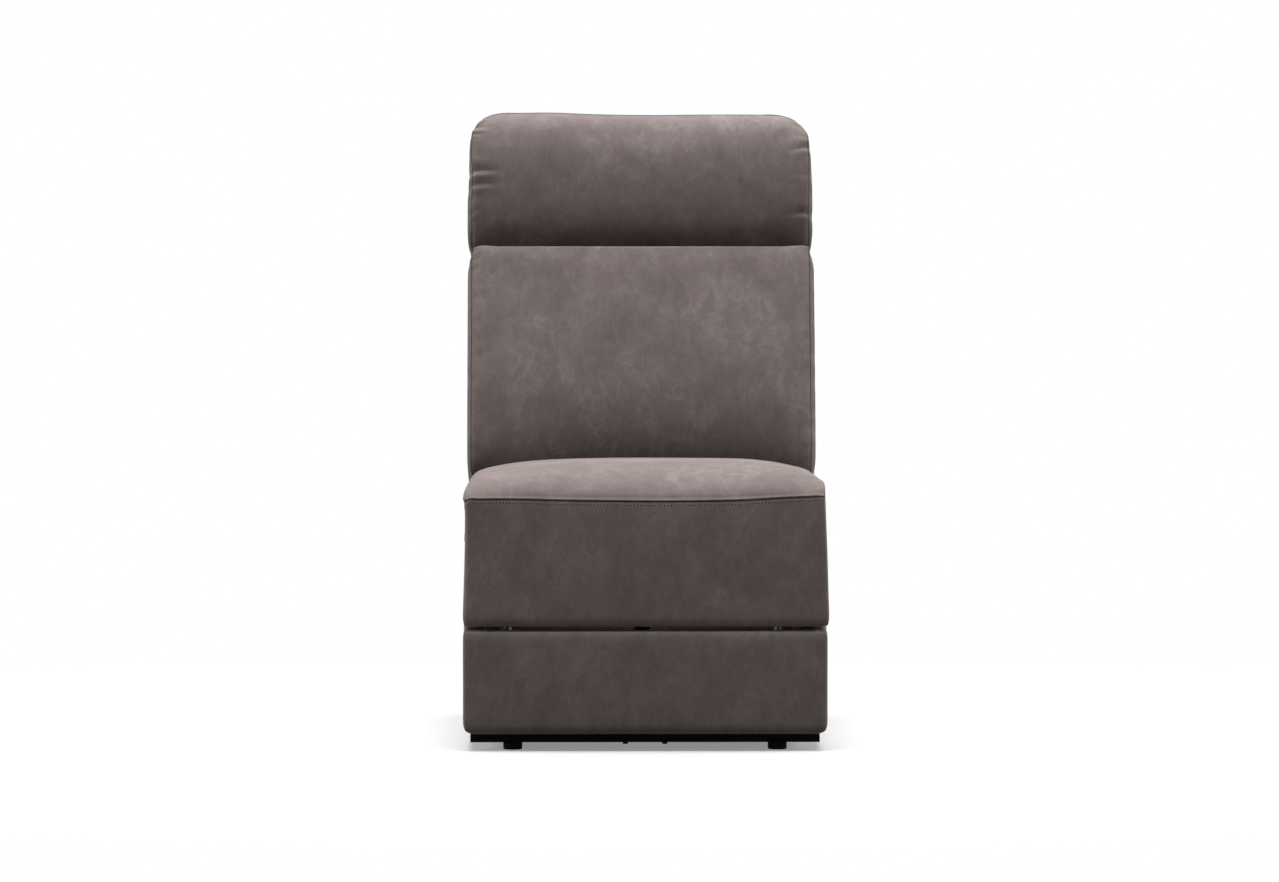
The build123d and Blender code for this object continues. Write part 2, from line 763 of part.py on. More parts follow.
# Footrest actuator, hung from the seat's front and rear rails.
footrest_motor_y = seat_rail_rear_y - gearbox_length + 10.0
footrest_track_mid_z = footrest_track_z + track_height / 2
hanger_y = seat_rail_front_y + seat_rail_thickness / 2
save(gear_motor(footrest_motor_y, footrest_track_mid_z, 1), "footrest_motor")
save(track((hanger_y, footrest_motor_y), footrest_track_z), "footrest_track")
save(
    fork_carriage(
        arm_tube[0] - fork_lead,
        footrest_track_z,
        arm_tube[1],
        arm_pivot[1] - arm_length * arm_tube_share - 14,
    ),
    "footrest_carriage",
)
with BuildPart() as footrest_mounts:
    with BuildSketch(Plane.XZ.offset(-hanger_y)):
        with Locations((0, (footrest_track_z + seat_rail_bottom_z) / 2)):
            Rectangle(2 * track_half_width, seat_rail_bottom_z - footrest_track_z)
    extrude(amount=bracket_plate)
    motor_top = footrest_track_mid_z + gearbox_height / 2
    with BuildSketch(Plane.XY.offset(motor_top)):
        with Locations((0, seat_rail_rear_y - seat_rail_thickness / 2)):
            Rectangle(2 * track_half_width, seat_rail_thickness - 6)
    extrude(amount=seat_rail_bottom_z - motor_top)
save(footrest_mounts.part, "footrest_mounts")

# ================================================================ footrest
board_front_y = front_y + pad_thickness
board_rear_y = board_front_y + board_thickness
bracket_low_z = 84.0
with BuildPart() as pad_brackets:
    with BuildSketch(Plane.YZ.offset(arm_inner)):
        with BuildLine():
            Polyline(
                (board_rear_y, bracket_low_z),
                (board_rear_y + 8, bracket_low_z),
                (pad_pivot[0] + 11, pad_pivot[1] - 14),
                (pad_pivot[0] + 11, pad_pivot[1]),
                (pad_pivot[0], pad_pivot[1] + 6),
                (board_rear_y, pad_pivot[1] + 6),
                close=True,
            )
        make_face()
        with Locations(pad_pivot):
            Circle(11)
            Circle(eye, mode=Mode.SUBTRACT)
        with BuildLine():
            Polyline(
                (board_rear_y - 30, bracket_low_z - 30),
                (board_rear_y, bracket_low_z - 30),
                (board_rear_y, pad_pivot[1] + 40),
                (board_rear_y - 30, pad_pivot[1] + 40),
                close=True,
            )
        make_face(mode=Mode.SUBTRACT)
    extrude(amount=steel)
    with BuildSketch(Plane.XZ.offset(-board_rear_y)):
        with Locations((arm_inner - 9, (bracket_low_z + pad_pivot[1] - 30) / 2)):
            Rectangle(18, pad_pivot[1] - 30 - bracket_low_z)
    extrude(amount=-3.0)
    mirror(about=Plane.YZ)
save(pad_brackets.part, "pad_brackets")

save(
    box_part(
        (-half_front + pad_board_inset, half_front - pad_board_inset),
        (board_front_y, board_rear_y),
        (pad_bottom_z + pad_board_inset, pad_top_z - pad_board_inset),
    ),
    "footrest_board",
)
save(
    box_part(
        (-half_front, half_front),
        (front_y, board_front_y - soft_gap),
        (pad_bottom_z, pad_top_z),
        11.0,
    ),
    "footrest_pad",
)

# ================================================================ back
lean_cos = cos(radians(back_lean))
lean_sin = sin(radians(back_lean))
back_plane = Plane(
    origin=(0, back_face_y, seat_crown_z),
    x_dir=(0, lean_cos, -lean_sin),
    z_dir=(1, 0, 0),
)


def to_lean(y, z):
    """Depth and height on the leaning plane of a point given as y and z."""
    dy = y - back_face_y
    dz = z - seat_crown_z
    return (dy * lean_cos - dz * lean_sin, dy * lean_sin + dz * lean_cos)


def lean_block(x, depth, height, rounding=0.0):
    """A block on the leaning plane from three (low, high) pairs."""
    with BuildPart() as block:
        with BuildSketch(back_plane.offset(x[0])):
            with Locations(((depth[0] + depth[1]) / 2, (height[0] + height[1]) / 2)):
                Rectangle(depth[1] - depth[0], height[1] - height[0])
        extrude(amount=x[1] - x[0])
        if rounding:
            fillet(block.edges(), rounding)
    return block.part


half_back = back_width / 2
post_front = back_cushion_thickness + 4.0
post_rear = post_front + post_depth
post_inner_x = swing_outer
post_outer_x = post_inner_x + post_width
post_top = back_height - 2.0
hinge_at = to_lean(*back_hinge)

save_pair(
    lean_block((post_inner_x, post_outer_x), (post_front, post_rear), (back_bottom, post_top)),
    "back_posts",
)

# Cross rails between the posts, top, middle and bottom.
arm_plate_inner = post_inner_x - steel
rail_depth = (post_front, post_front + 25.0)
rail_levels = (back_bottom + 10.0, (back_bottom + post_top) / 2 - 24.0, post_top - 60.0)
cross_rails = [
    lean_block((-arm_plate_inner, arm_plate_inner), rail_depth, (level, level + 50.0))
    for level in rail_levels
]
save_group(cross_rails, "back_cross_rails")

back_strap_depth = (post_front - 3.0, post_front)
back_strap_pitch = 2 * arm_plate_inner / (back_straps + 1)
straps = []
for place in range(back_straps):
    x = (place - (back_straps - 1) / 2) * back_strap_pitch
    strap_x = (x - strap_width / 2, x + strap_width / 2)
    straps.append(lean_block(strap_x, back_strap_depth, (back_bottom + 10.0, post_top - 10.0)))
save_group(straps, "back_webbing")

# Back brackets: from the hinge pin, under the cushion, up to the posts' inner faces.
bracket_eye = 13.0
with BuildPart() as back_brackets:
    with BuildSketch(back_plane.offset(swing_inner)):
        with BuildLine():
            Polyline(
                (hinge_at[0] - bracket_eye, hinge_at[1]),
                (hinge_at[0], hinge_at[1] - bracket_eye),
                (post_rear - 20, cushion_bottom - 34),
                (post_rear - 6, back_bottom - 4),
                (post_rear - 6, 110.0),
                (post_front + 6, 110.0),
                (post_front + 1, cushion_bottom - 2),
                (hinge_at[0], cushion_bottom - 2),
                close=True,
            )
        make_face()
        with Locations(hinge_at):
            Circle(bracket_eye)
            Circle(eye, mode=Mode.SUBTRACT)
    extrude(amount=steel)
    mirror(about=Plane.YZ)
save(back_brackets.part, "back_brackets")

# Back cushion, crowned towards the sitter.
crown_depth = 12.0
with BuildPart() as back_cushion:
    with BuildSketch(back_plane.offset(-half_back)):
        with BuildLine():
            Polyline(
                (crown_depth, cushion_bottom),
                (back_cushion_thickness, cushion_bottom),
                (back_cushion_thickness, back_height),
                (crown_depth, back_height),
            )
            ThreePointArc(
                (crown_depth, back_height),
                (0, (back_height + cushion_bottom) / 2),
                (crown_depth, cushion_bottom),
            )
        make_face()
    extrude(amount=back_width)
    fillet(back_cushion.edges().filter_by(Axis.X).group_by(Axis.Y)[0], back_foot_rounding)
    fillet(back_cushion.edges().filter_by(Axis.X).group_by(Axis.Y)[-1], 24)
save(back_cushion.part, "back_cushion")

# Wings: covered boards on the posts' outer faces that close the side below the back, inside the base panels.
wing_top = cushion_bottom - 1.0
wing_front = to_lean(back_hinge[0] - wing_reach_y, back_hinge[1] - 50)
with BuildPart() as back_wings:
    with BuildSketch(back_plane.offset(post_outer_x)):
        with BuildLine():
            Polyline(
                (wing_front[0], wing_top),
                wing_front,
                to_lean(back_hinge[0] - 20, wing_bottom_z),
                to_lean(back_hinge[0] + 120, wing_bottom_z),
                to_lean(base_rear_y - 15, wing_bottom_z + 50),
                (back_total - skin - 3, rear_skin_bottom - 6),
                (post_rear, 60),
                (post_front + 1, 60),
                (post_front + 1, wing_top),
                close=True,
            )
        make_face()
    extrude(amount=wing_thickness)
    mirror(about=Plane.YZ)
save(back_wings.part, "back_wings")

rear_panel_depth = (back_total - skin, back_total)
side_depth = (back_cushion_thickness + soft_gap, back_total - skin)
save(
    lean_block((-half_back, half_back), rear_panel_depth, (rear_skin_bottom, back_height), 5.0),
    "back_rear_panel",
)
with BuildPart() as back_side_panel:
    with BuildSketch(back_plane.offset(half_back - skin)):
        with BuildLine():
            Polyline(
                (side_depth[0], back_height),
                (side_depth[0], cushion_bottom),
                (side_depth[1], rear_skin_bottom),
                (side_depth[1], back_height),
                close=True,
            )
        make_face()
    extrude(amount=skin)
save_pair(back_side_panel.part, "back_side_panels")
save(
    lean_block(
        (-half_back + skin, half_back - skin),
        (post_rear + 1.0, back_total - skin),
        (back_height - skin, back_height),
    ),
    "back_top_panel",
)

# ================================================================ headrest
head_bottom = back_height + split_gap
head_top = head_bottom + headrest_height
head_pivot = (headrest_pivot_depth, head_bottom + headrest_pivot_depth)
head_back = (post_front + post_depth / 2, post_top - 70.0)

# Fixed arms: from the posts' inner faces forward to the headrest's pivot.
with BuildPart() as headrest_arms:
    with BuildSketch(back_plane.offset(arm_plate_inner)):
        with BuildLine():
            Polyline(
                (post_front + 4, head_back[1]),
                (post_rear - 4, head_back[1]),
                (post_rear - 4, post_top),
                (head_pivot[0] + 6, head_pivot[1] + 11),
                (head_pivot[0] - 6, head_pivot[1] - 11),
                (post_front - 8, back_height + 3),
                (post_front + 4, post_top - 12),
                close=True,
            )
        make_face()
        with Locations(head_pivot):
            Circle(13)
    extrude(amount=steel)
    # A riveted pin for the headrest's hinge plate.
    with BuildSketch(back_plane.offset(arm_plate_inner - layer_gap - steel - 0.4)):
        with Locations(head_pivot):
            Circle(pin_radius)
    extrude(amount=layer_gap + steel + 0.5)
    mirror(about=Plane.YZ)
save(headrest_arms.part, "headrest_arms")

plate_outer = arm_plate_inner - layer_gap
plate_inner = plate_outer - steel
board_depth = (headrest_foam + soft_gap, headrest_foam + soft_gap + headrest_board_thickness)
board_bottom = head_pivot[1] + 10.0
with BuildPart() as headrest_hinges:
    with BuildSketch(back_plane.offset(plate_inner)):
        with BuildLine():
            Polyline(
                (head_pivot[0] - 12, head_pivot[1]),
                (head_pivot[0] + 8, head_pivot[1] - 9),
                (board_depth[1], board_bottom),
                (board_depth[1], board_bottom + 80),
                (board_depth[0] - 12, board_bottom + 80),
                (head_pivot[0] - 6, head_pivot[1] + 14),
                close=True,
            )
        make_face()
        with Locations(head_pivot):
            Circle(13)
            Circle(eye, mode=Mode.SUBTRACT)
    extrude(amount=steel)
    mirror(about=Plane.YZ)
save(headrest_hinges.part, "headrest_hinges")

save(
    lean_block((-plate_inner, plate_inner), board_depth, (board_bottom, head_top - 25.0)),
    "headrest_board",
)

front_view = Plane(origin=back_plane.origin, x_dir=(1, 0, 0), z_dir=-back_plane.x_dir)


def head_outline(shrink):
    """The headrest seen from the front, its top corners rounded, as a sketch."""
    half, top, corner = half_back - shrink, head_top - shrink, head_corner - shrink
    bend = corner * (1 - cos(radians(45)))
    with BuildSketch(front_view) as outline:
        with BuildLine():
            Polyline((-half, top - corner), (-half, head_bottom - 10), (half, head_bottom - 10), (half, top - corner))
            ThreePointArc((half, top - corner), (half - bend, top - bend), (half - corner, top))
            Line((half - corner, top), (-half + corner, top))
            ThreePointArc((-half + corner, top), (-half + bend, top - bend), (-half, top - corner))
        make_face()
    return outline.sketch


def bulged(start, end, rise):
    """The middle of the line from start to end, moved to its left by rise."""
    run, climb = end[0] - start[0], end[1] - start[1]
    length = hypot(run, climb)
    return ((start[0] + end[0]) / 2 - rise * climb / length, (start[1] + end[1]) / 2 + rise * run / length)


# Headrest cushion: its face upright where the back leans, rolled under at the bottom, with a pocket for each hinge.
with BuildPart() as headrest_cushion:
    with BuildSketch(back_plane.offset(-half_back)):
        with BuildLine():
            foot = (headrest_foot, head_bottom)
            chin = (headrest_chin[0], head_bottom + headrest_chin[1])
            brow = (-headrest_reach, head_bottom + headrest_reach_height)
            crest_rise = head_top - brow[1]
            crest = (brow[0] + crest_rise, head_top)
            bend = crest_rise * (1 - cos(radians(45)))
            ThreePointArc(foot, bulged(foot, chin, 6.0), chin)
            ThreePointArc(chin, bulged(chin, brow, 10.0), brow)
            ThreePointArc(brow, (brow[0] + bend, head_top - bend), crest)
            Polyline(crest, (headrest_foam, head_top), (headrest_foam, head_bottom), foot)
        make_face()
    extrude(amount=back_width)
    extrude(head_outline(0.0), amount=back_total + 20, both=True, mode=Mode.INTERSECT)
    with BuildSketch(back_plane.offset(plate_inner - pocket_gap)) as pocket:
        with Locations(((headrest_foam + head_pivot[0] - 22) / 2, (head_bottom + board_bottom + 90) / 2)):
            Rectangle(headrest_foam - head_pivot[0] + 22, board_bottom + 90 - head_bottom)
    extrude(amount=post_inner_x - plate_inner + 2 * pocket_gap, mode=Mode.SUBTRACT)
    with BuildSketch(back_plane.offset(-post_inner_x - pocket_gap)):
        add(pocket.sketch_local)
    extrude(amount=post_inner_x - plate_inner + 2 * pocket_gap, mode=Mode.SUBTRACT)
save(headrest_cushion.part, "headrest_cushion")

# Headrest rear panel, sides and top: deep at the bottom, tapering to the top, one skin round the corners.
head_front_depth = headrest_foam + soft_gap
head_split = head_top - head_corner - 2.0
head_taper = (back_total - headrest_top_depth) / (head_top - head_bottom)


def head_rear(height):
    """Depth of the headrest's rear face at a height."""
    return back_total - head_taper * (height - head_bottom)


def head_skin(heights, name):
    """The part of the headrest's skin between two heights, as far as the rear panel."""
    with BuildPart() as piece:
        with BuildSketch(back_plane.offset(-half_back)):
            with BuildLine():
                Polyline(
                    (head_front_depth, heights[0]),
                    (head_rear(heights[0]) - skin, heights[0]),
                    (head_rear(heights[1]) - skin, heights[1]),
                    (head_front_depth, heights[1]),
                    close=True,
                )
            make_face()
        extrude(amount=back_width)
        extrude(head_outline(0.0), amount=back_total + 20, both=True, mode=Mode.INTERSECT)
        extrude(head_outline(skin), amount=back_total + 20, both=True, mode=Mode.SUBTRACT)
    save(piece.part, name)


head_foot = head_bottom + 2.0
head_skin((head_foot, head_split), "headrest_side_panels")
head_skin((head_split, head_top), "headrest_top_panel")
with BuildPart() as headrest_rear_panel:
    with BuildSketch(back_plane.offset(-half_back)):
        with BuildLine():
            Polyline(
                (head_rear(head_foot) - skin, head_foot),
                (head_rear(head_foot), head_foot),
                (head_rear(head_top), head_top),
                (head_rear(head_top) - skin, head_top),
                close=True,
            )
        make_face()
    extrude(amount=back_width)
    extrude(head_outline(0.0), amount=back_total + 20, both=True, mode=Mode.INTERSECT)
save(headrest_rear_panel.part, "headrest_rear_panel")
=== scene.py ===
"""Looks of the armless recliner: padded upholstery, seams, timber, steel, plastic, floor and light.

Metres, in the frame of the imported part. Leaning pieces are shaped upright, in (across, depth, height), and
then leant.
"""

import json
from math import atan, cos, pi, radians, sin

import bpy
import numpy as np
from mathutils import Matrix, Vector
from mathutils.bvhtree import BVHTree


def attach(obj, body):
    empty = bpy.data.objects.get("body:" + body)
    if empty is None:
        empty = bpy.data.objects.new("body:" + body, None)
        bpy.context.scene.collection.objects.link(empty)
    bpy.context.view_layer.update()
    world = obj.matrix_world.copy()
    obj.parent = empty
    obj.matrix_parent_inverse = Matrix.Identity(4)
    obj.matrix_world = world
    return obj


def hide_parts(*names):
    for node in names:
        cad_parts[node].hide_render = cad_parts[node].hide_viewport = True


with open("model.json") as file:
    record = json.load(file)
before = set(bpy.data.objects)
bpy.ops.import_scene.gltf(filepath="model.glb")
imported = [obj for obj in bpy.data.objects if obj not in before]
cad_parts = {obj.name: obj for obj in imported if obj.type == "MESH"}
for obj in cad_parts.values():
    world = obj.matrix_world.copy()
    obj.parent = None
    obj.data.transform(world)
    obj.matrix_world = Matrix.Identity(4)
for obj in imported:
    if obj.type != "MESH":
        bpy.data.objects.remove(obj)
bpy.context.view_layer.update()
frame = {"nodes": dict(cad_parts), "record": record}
nodes = frame["nodes"]
scene = bpy.context.scene

# -------- sizes that the CAD source also uses
front_y = -0.460
half_front = 0.305
half_back = 0.305
back_face_y = 0.075
crown_z = 0.480
lean = radians(17.0)
cushion_bottom = -0.040
back_height = 0.388
head_bottom = 0.395
head_top = 0.645
seam_z = 0.419  # front seam between the seat's top and its border
border_rear_y = front_y + 0.026

# -------- sizes of the covers
head_reach = 0.030  # the headrest's face stands this far in front of the back's
head_corner_right, head_corner_left = 0.069, 0.063  # rounding of its top corners, as photographed
boxing = 0.0030  # how far in from the CAD cushion's side the side seam lies
stitch_drop = 0.0062  # the border's top-stitch below the front seam

# Each cover starts as a block: its low and high corners. The headrest's and the back's stand upright.
cushion_half = half_back - boxing
crown_half = 0.31  # a cushion's crown would die out here, just past its side seams
head_block = (-cushion_half, -head_reach, head_bottom + 0.001), (cushion_half, 0.132, head_top - 0.003)
back_block = (-cushion_half, 0.0, cushion_bottom + 0.001), (cushion_half, 0.200, back_height - 0.001)
seat_block = (-half_front, front_y, 0.4028), (half_front, back_face_y - 0.018, crown_z)
border_block = (-half_front, front_y, 0.2075), (half_front, border_rear_y - 0.0003, seam_z - 0.0006)
pad_block = (-half_front, front_y, 0.028), (half_front, front_y + 0.0277, 0.2020)

# -------- the photograph's camera
camera_distance = 9.0
camera_height = 0.7525
camera_side = -0.122
camera_pitch = 1.489  # degrees down
camera_yaw = -0.713
focal_length = 152.13  # mm
sensor_width = 36.0  # mm

# -------- light: from above, with a weak fill
overhead_power = 34
overhead_rear_power = 38
overhead_front_power = 57
side_power = 46
white = (1, 1, 1)
fill_light, fill_colour = 0.16, (1, 0.94, 0.92)
floor_colour = (0.78, 0.78, 0.78)
floor_glow = 0.25
floor_bounce = 0.12
shadow_reach, white_from = 0.9, 2.2  # the floor is matt up to the first, and plain white past the second


# ======== modelling helpers
def deselect():
    bpy.ops.object.select_all(action="DESELECT")


def make_active(piece):
    deselect()
    piece.select_set(True)
    bpy.context.view_layer.objects.active = piece


def apply_modifier(piece, kind, **settings):
    make_active(piece)
    modifier = piece.modifiers.new(kind.title(), kind)
    for name, value in settings.items():
        setattr(modifier, name, value)
    bpy.ops.object.modifier_apply(modifier=modifier.name)


def points_of(piece):
    co = np.empty(len(piece.data.vertices) * 3)
    piece.data.vertices.foreach_get("co", co)
    return co.reshape(-1, 3)


def move_points(piece, co):
    piece.data.vertices.foreach_set("co", co.ravel())
    piece.data.update()


def normals_of(piece):
    n = np.empty(len(piece.data.vertices) * 3)
    piece.data.vertices.foreach_get("normal", n)
    return n.reshape(-1, 3)


def in_scene(name, data):
    """A new object that holds data, linked into the scene."""
    new = bpy.data.objects.new(name, data)
    scene.collection.objects.link(new)
    return new


def paint(piece, material):
    piece.data.materials.clear()
    piece.data.materials.append(material)


def apply_place():
    """Moves the new piece's place, turn and scale into its mesh."""
    bpy.ops.object.transform_apply(location=True, rotation=True, scale=True)
    return bpy.context.object


def add_block(name, low, high):
    low, high = Vector(low), Vector(high)
    deselect()
    bpy.ops.mesh.primitive_cube_add(size=1, location=(low + high) / 2, scale=high - low)
    block = apply_place()
    block.name = name
    return block


def add_rod(centre, radius, length, sides, turn=(0, 0, 0)):
    deselect()
    bpy.ops.mesh.primitive_cylinder_add(
        vertices=sides, radius=radius, depth=length, location=centre, rotation=turn
    )
    return apply_place()


def bisect_all(axis, places):
    for place in places:
        spot, normal = [0, 0, 0], [0, 0, 0]
        spot[axis], normal[axis] = place, 1
        bpy.ops.mesh.select_all(action="SELECT")
        bpy.ops.mesh.bisect(plane_co=spot, plane_no=normal)


def cut_across(piece, axis, places):
    """Extra edge loops where a cover needs finer folds."""
    make_active(piece)
    bpy.ops.object.mode_set(mode="EDIT")
    bisect_all(axis, places)
    bpy.ops.object.mode_set(mode="OBJECT")


def grid_block(name, corners, step, edge):
    """A block cut into an even grid, with one more cut at `edge` from each side to hold the rounding."""
    block = add_block(name, *corners)
    bpy.ops.object.mode_set(mode="EDIT")
    for axis, (low, high) in enumerate(zip(*map(Vector, corners))):
        a, b = low + edge, high - edge
        count = max(1, round((b - a) / step))
        bisect_all(axis, [a + (b - a) * k / count for k in range(count + 1)])
    bpy.ops.mesh.select_all(action="DESELECT")
    bpy.ops.object.mode_set(mode="OBJECT")
    return block


def subdivide(piece):
    apply_modifier(piece, "SUBSURF", levels=1, render_levels=1)


def round_corner(a, b, corner, radius, way):
    """Moves a block's square corner in the (a, b) plane onto an arc. corner is the sharp corner's place.

    radius is one number, or a pair for an oval corner."""
    ra, rb = radius if isinstance(radius, tuple) else (radius, radius)
    ca, cb = corner[0] - way[0] * ra, corner[1] - way[1] * rb
    da, db = (a - ca) * way[0] / ra, (b - cb) * way[1] / rb
    inside = (da > 0) & (db > 0)
    square = np.maximum(np.abs(da), np.abs(db))
    length = np.hypot(da, db)
    share = np.where(inside & (length > 1e-9), square / np.maximum(length, 1e-9), 1.0)
    return (
        np.where(inside, ca + (a - ca) * share, a),
        np.where(inside, cb + (b - cb) * share, b),
    )


def round_each_side(across, b, x, corner, right, left, way):
    """Rounds a corner on both sides of a piece, with one radius on its right and another on its left."""
    pairs = zip(*(round_corner(across, b, corner, radius, way) for radius in (right, left)))
    return tuple(np.where(x > 0, on_right, on_left) for on_right, on_left in pairs)


def rim_distance(u, v, block):
    """How far inside a block's outline, seen from the side, each point lies."""
    (_, front, low), (_, rear, top) = block
    return np.minimum.reduce((u - front, rear - u, v - low, top - v))


def held_seams(co, block):
    """What the cloth simulation holds still: a cushion's side seams and its rear."""
    held = bell(np.abs(co[:, 0]), cushion_half, 0.001) * (rim_distance(co[:, 1], co[:, 2], block) < 0.001)
    return np.maximum(held, co[:, 1] > block[1][1] - 0.001)


def bell(x, centre, width):
    return np.exp(-(((x - centre) / width) ** 2))


def curve_through(x, *knots):
    """A smooth curve through (place, value) knots."""
    places, values = np.array(knots, dtype=float).T
    slopes = np.gradient(values, places)
    k = np.clip(np.searchsorted(places, x) - 1, 0, len(places) - 2)
    width = places[k + 1] - places[k]
    t = np.clip((x - places[k]) / width, 0, 1)
    rise = (2 * t**3 - 3 * t**2 + 1) * values[k] + (3 * t**2 - 2 * t**3) * values[k + 1]
    return rise + width * ((t**3 - 2 * t**2 + t) * slopes[k] + (t**3 - t**2) * slopes[k + 1])


def smooth(x):
    x = np.clip(x, 0, 1)
    return x * x * (3 - 2 * x)


def lean_back(co):
    """From upright (across, depth, height) to the leaning place."""
    x, u, v = co.T
    return np.column_stack(
        (x, back_face_y + u * cos(lean) + v * sin(lean), crown_z - u * sin(lean) + v * cos(lean))
    )


def pad_out(piece, held, pressure, cap):
    """Cloth under pressure, as over foam: the cover swells between its held seams, by at most cap."""
    start = points_of(piece)
    make_active(piece)
    cloth = piece.modifiers.new("Cloth", "CLOTH")
    cloth.settings.quality = 5
    cloth.settings.mass = 0.3
    cloth.settings.tension_stiffness = 12
    cloth.settings.compression_stiffness = 12
    cloth.settings.shear_stiffness = 4
    cloth.settings.bending_stiffness = 0.6
    cloth.settings.use_pressure = True
    cloth.settings.uniform_pressure_force = pressure
    cloth.settings.effector_weights.gravity = 0
    cloth.settings.shrink_min = -0.015
    group = piece.vertex_groups.new(name="held")
    for k in np.nonzero(held > 0.01)[0]:
        group.add([int(k)], float(held[k]), "REPLACE")
    cloth.settings.vertex_group_mass = "held"
    cloth.settings.pin_stiffness = 1.0
    first, last = 1, 20
    cloth.point_cache.frame_start = first
    cloth.point_cache.frame_end = last
    for step in range(first, last + 1):
        scene.frame_set(step)
    bpy.ops.object.modifier_apply(modifier=cloth.name)
    scene.frame_set(first)
    move = points_of(piece) - start
    length = np.linalg.norm(move, axis=1, keepdims=True)
    move_points(piece, start + move * np.minimum(1, cap / np.maximum(length, 1e-9)))


def cut_out(piece, cutter):
    """Takes the cutter's shape out of a piece."""
    apply_modifier(piece, "BOOLEAN", operation="DIFFERENCE", object=cutter, solver="EXACT")
    bpy.data.objects.remove(cutter)


def crease(co, along, across, inward, depth, width, length):
    """The points with one gather pressed in: a sharp fold running out from a seam, full above and below."""
    fade = np.where(along >= -0.012, smooth(1 - np.abs(along) / length), 0)
    valley = np.exp(-(np.abs(across / np.where(across > 0, width * 1.5, width)) ** 1.35))
    fold = valley - 0.30 * bell(across, 3.2 * width, 1.8 * width) - 0.40 * bell(across, -2.0 * width, width)
    return co + inward * (depth * fade * fold)[:, None]


def seam_cord(name, path, surface, body, closed=True):
    """A fine sewn seam: a thin thread line laid on a cover along a path and sunk in it a little. Its dark
    colour is partly painted shade, standing in for the shade in the seam's groove.
    """
    thickness, sink = 0.0013, 0.2
    tree = BVHTree.FromObject(surface, bpy.context.evaluated_depsgraph_get())
    curve = bpy.data.curves.new(name, "CURVE")
    curve.dimensions = "3D"
    curve.bevel_depth = thickness
    curve.bevel_resolution = 1
    line = curve.splines.new("POLY")
    line.points.add(len(path) - 1)
    for point, place in zip(line.points, path):
        hit, normal, _, _ = tree.find_nearest(Vector(place))
        point.co = (*(hit - normal * thickness * sink), 1)
    line.use_cyclic_u = closed
    make_active(in_scene(name, curve))
    bpy.ops.object.convert(target="MESH")
    cord = bpy.context.object
    bpy.ops.object.shade_smooth()
    paint(cord, seam_thread_and_groove_shade)
    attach(cord, body)


def finish_cover(piece, body, replaced):
    make_active(piece)
    bpy.ops.object.shade_smooth()
    # The cushion's copy of the cloth, lightened or darkened as painted light and shade.
    paint(piece, lit_and_shaded_nubucks.get(body, nubuck))
    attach(piece, body)
    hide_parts(*replaced)


# ======== materials
def shader(name, roughness, metallic=0.0):
    material = bpy.data.materials.new(name)
    material.use_nodes = True
    tree = material.node_tree
    surface = tree.nodes["Principled BSDF"]
    surface.inputs["Roughness"].default_value = roughness
    surface.inputs["Metallic"].default_value = metallic
    place = tree.nodes.new("ShaderNodeTexCoord").outputs["Object"]
    return material, tree, surface, place


def stretched(tree, place, scale, turn=(0, 0, 0)):
    mapping = tree.nodes.new("ShaderNodeMapping")
    mapping.inputs["Scale"].default_value = scale
    mapping.inputs["Rotation"].default_value = turn
    tree.links.new(place, mapping.inputs["Vector"])
    return mapping.outputs["Vector"]


def noise(tree, place, scale, detail=3.0, roughness=0.5, distortion=0.0):
    texture = tree.nodes.new("ShaderNodeTexNoise")
    texture.inputs["Scale"].default_value = scale
    texture.inputs["Detail"].default_value = detail
    texture.inputs["Roughness"].default_value = roughness
    texture.inputs["Distortion"].default_value = distortion
    tree.links.new(place, texture.inputs["Vector"])
    return texture.outputs["Fac"]


def ramp(tree, value, *stops):
    node = tree.nodes.new("ShaderNodeValToRGB")
    bands = node.color_ramp.elements
    while len(bands) < len(stops):
        bands.new(0.5)
    for band, (place, colour) in zip(bands, stops):
        band.position = place
        band.color = (*colour, 1) if hasattr(colour, "__len__") else (colour, colour, colour, 1)
    tree.links.new(value, node.inputs["Fac"])
    return node.outputs["Color"]


def mixed(tree, kind, share, first, second):
    node = tree.nodes.new("ShaderNodeMix")
    node.data_type = "RGBA"
    node.blend_type = kind
    if hasattr(share, "is_linked"):
        tree.links.new(share, node.inputs["Factor"])
    else:
        node.inputs["Factor"].default_value = share
    for value, socket in ((first, node.inputs["A"]), (second, node.inputs["B"])):
        tree.links.new(value, socket)
    return node.outputs["Result"]


def vary_roughness(tree, surface, pattern, low, high):
    tree.links.new(ramp(tree, pattern, (0.3, low), (0.7, min(1, high))), surface.inputs["Roughness"])


def bump(tree, surface, height, strength, distance, before=None):
    node = tree.nodes.new("ShaderNodeBump")
    node.inputs["Strength"].default_value = strength
    node.inputs["Distance"].default_value = distance
    tree.links.new(height, node.inputs["Height"])
    if before is not None:
        tree.links.new(before, node.inputs["Normal"])
    tree.links.new(node.outputs["Normal"], surface.inputs["Normal"])
    return node.outputs["Normal"]


def linear(red, green, blue):
    """A colour as read off a screen, 0 to 255, in the renderer's linear values."""
    shares = (level / 255 for level in (red, green, blue))
    return tuple(c / 12.92 if c <= 0.04045 else ((c + 0.055) / 1.055) ** 2.4 for c in shares)


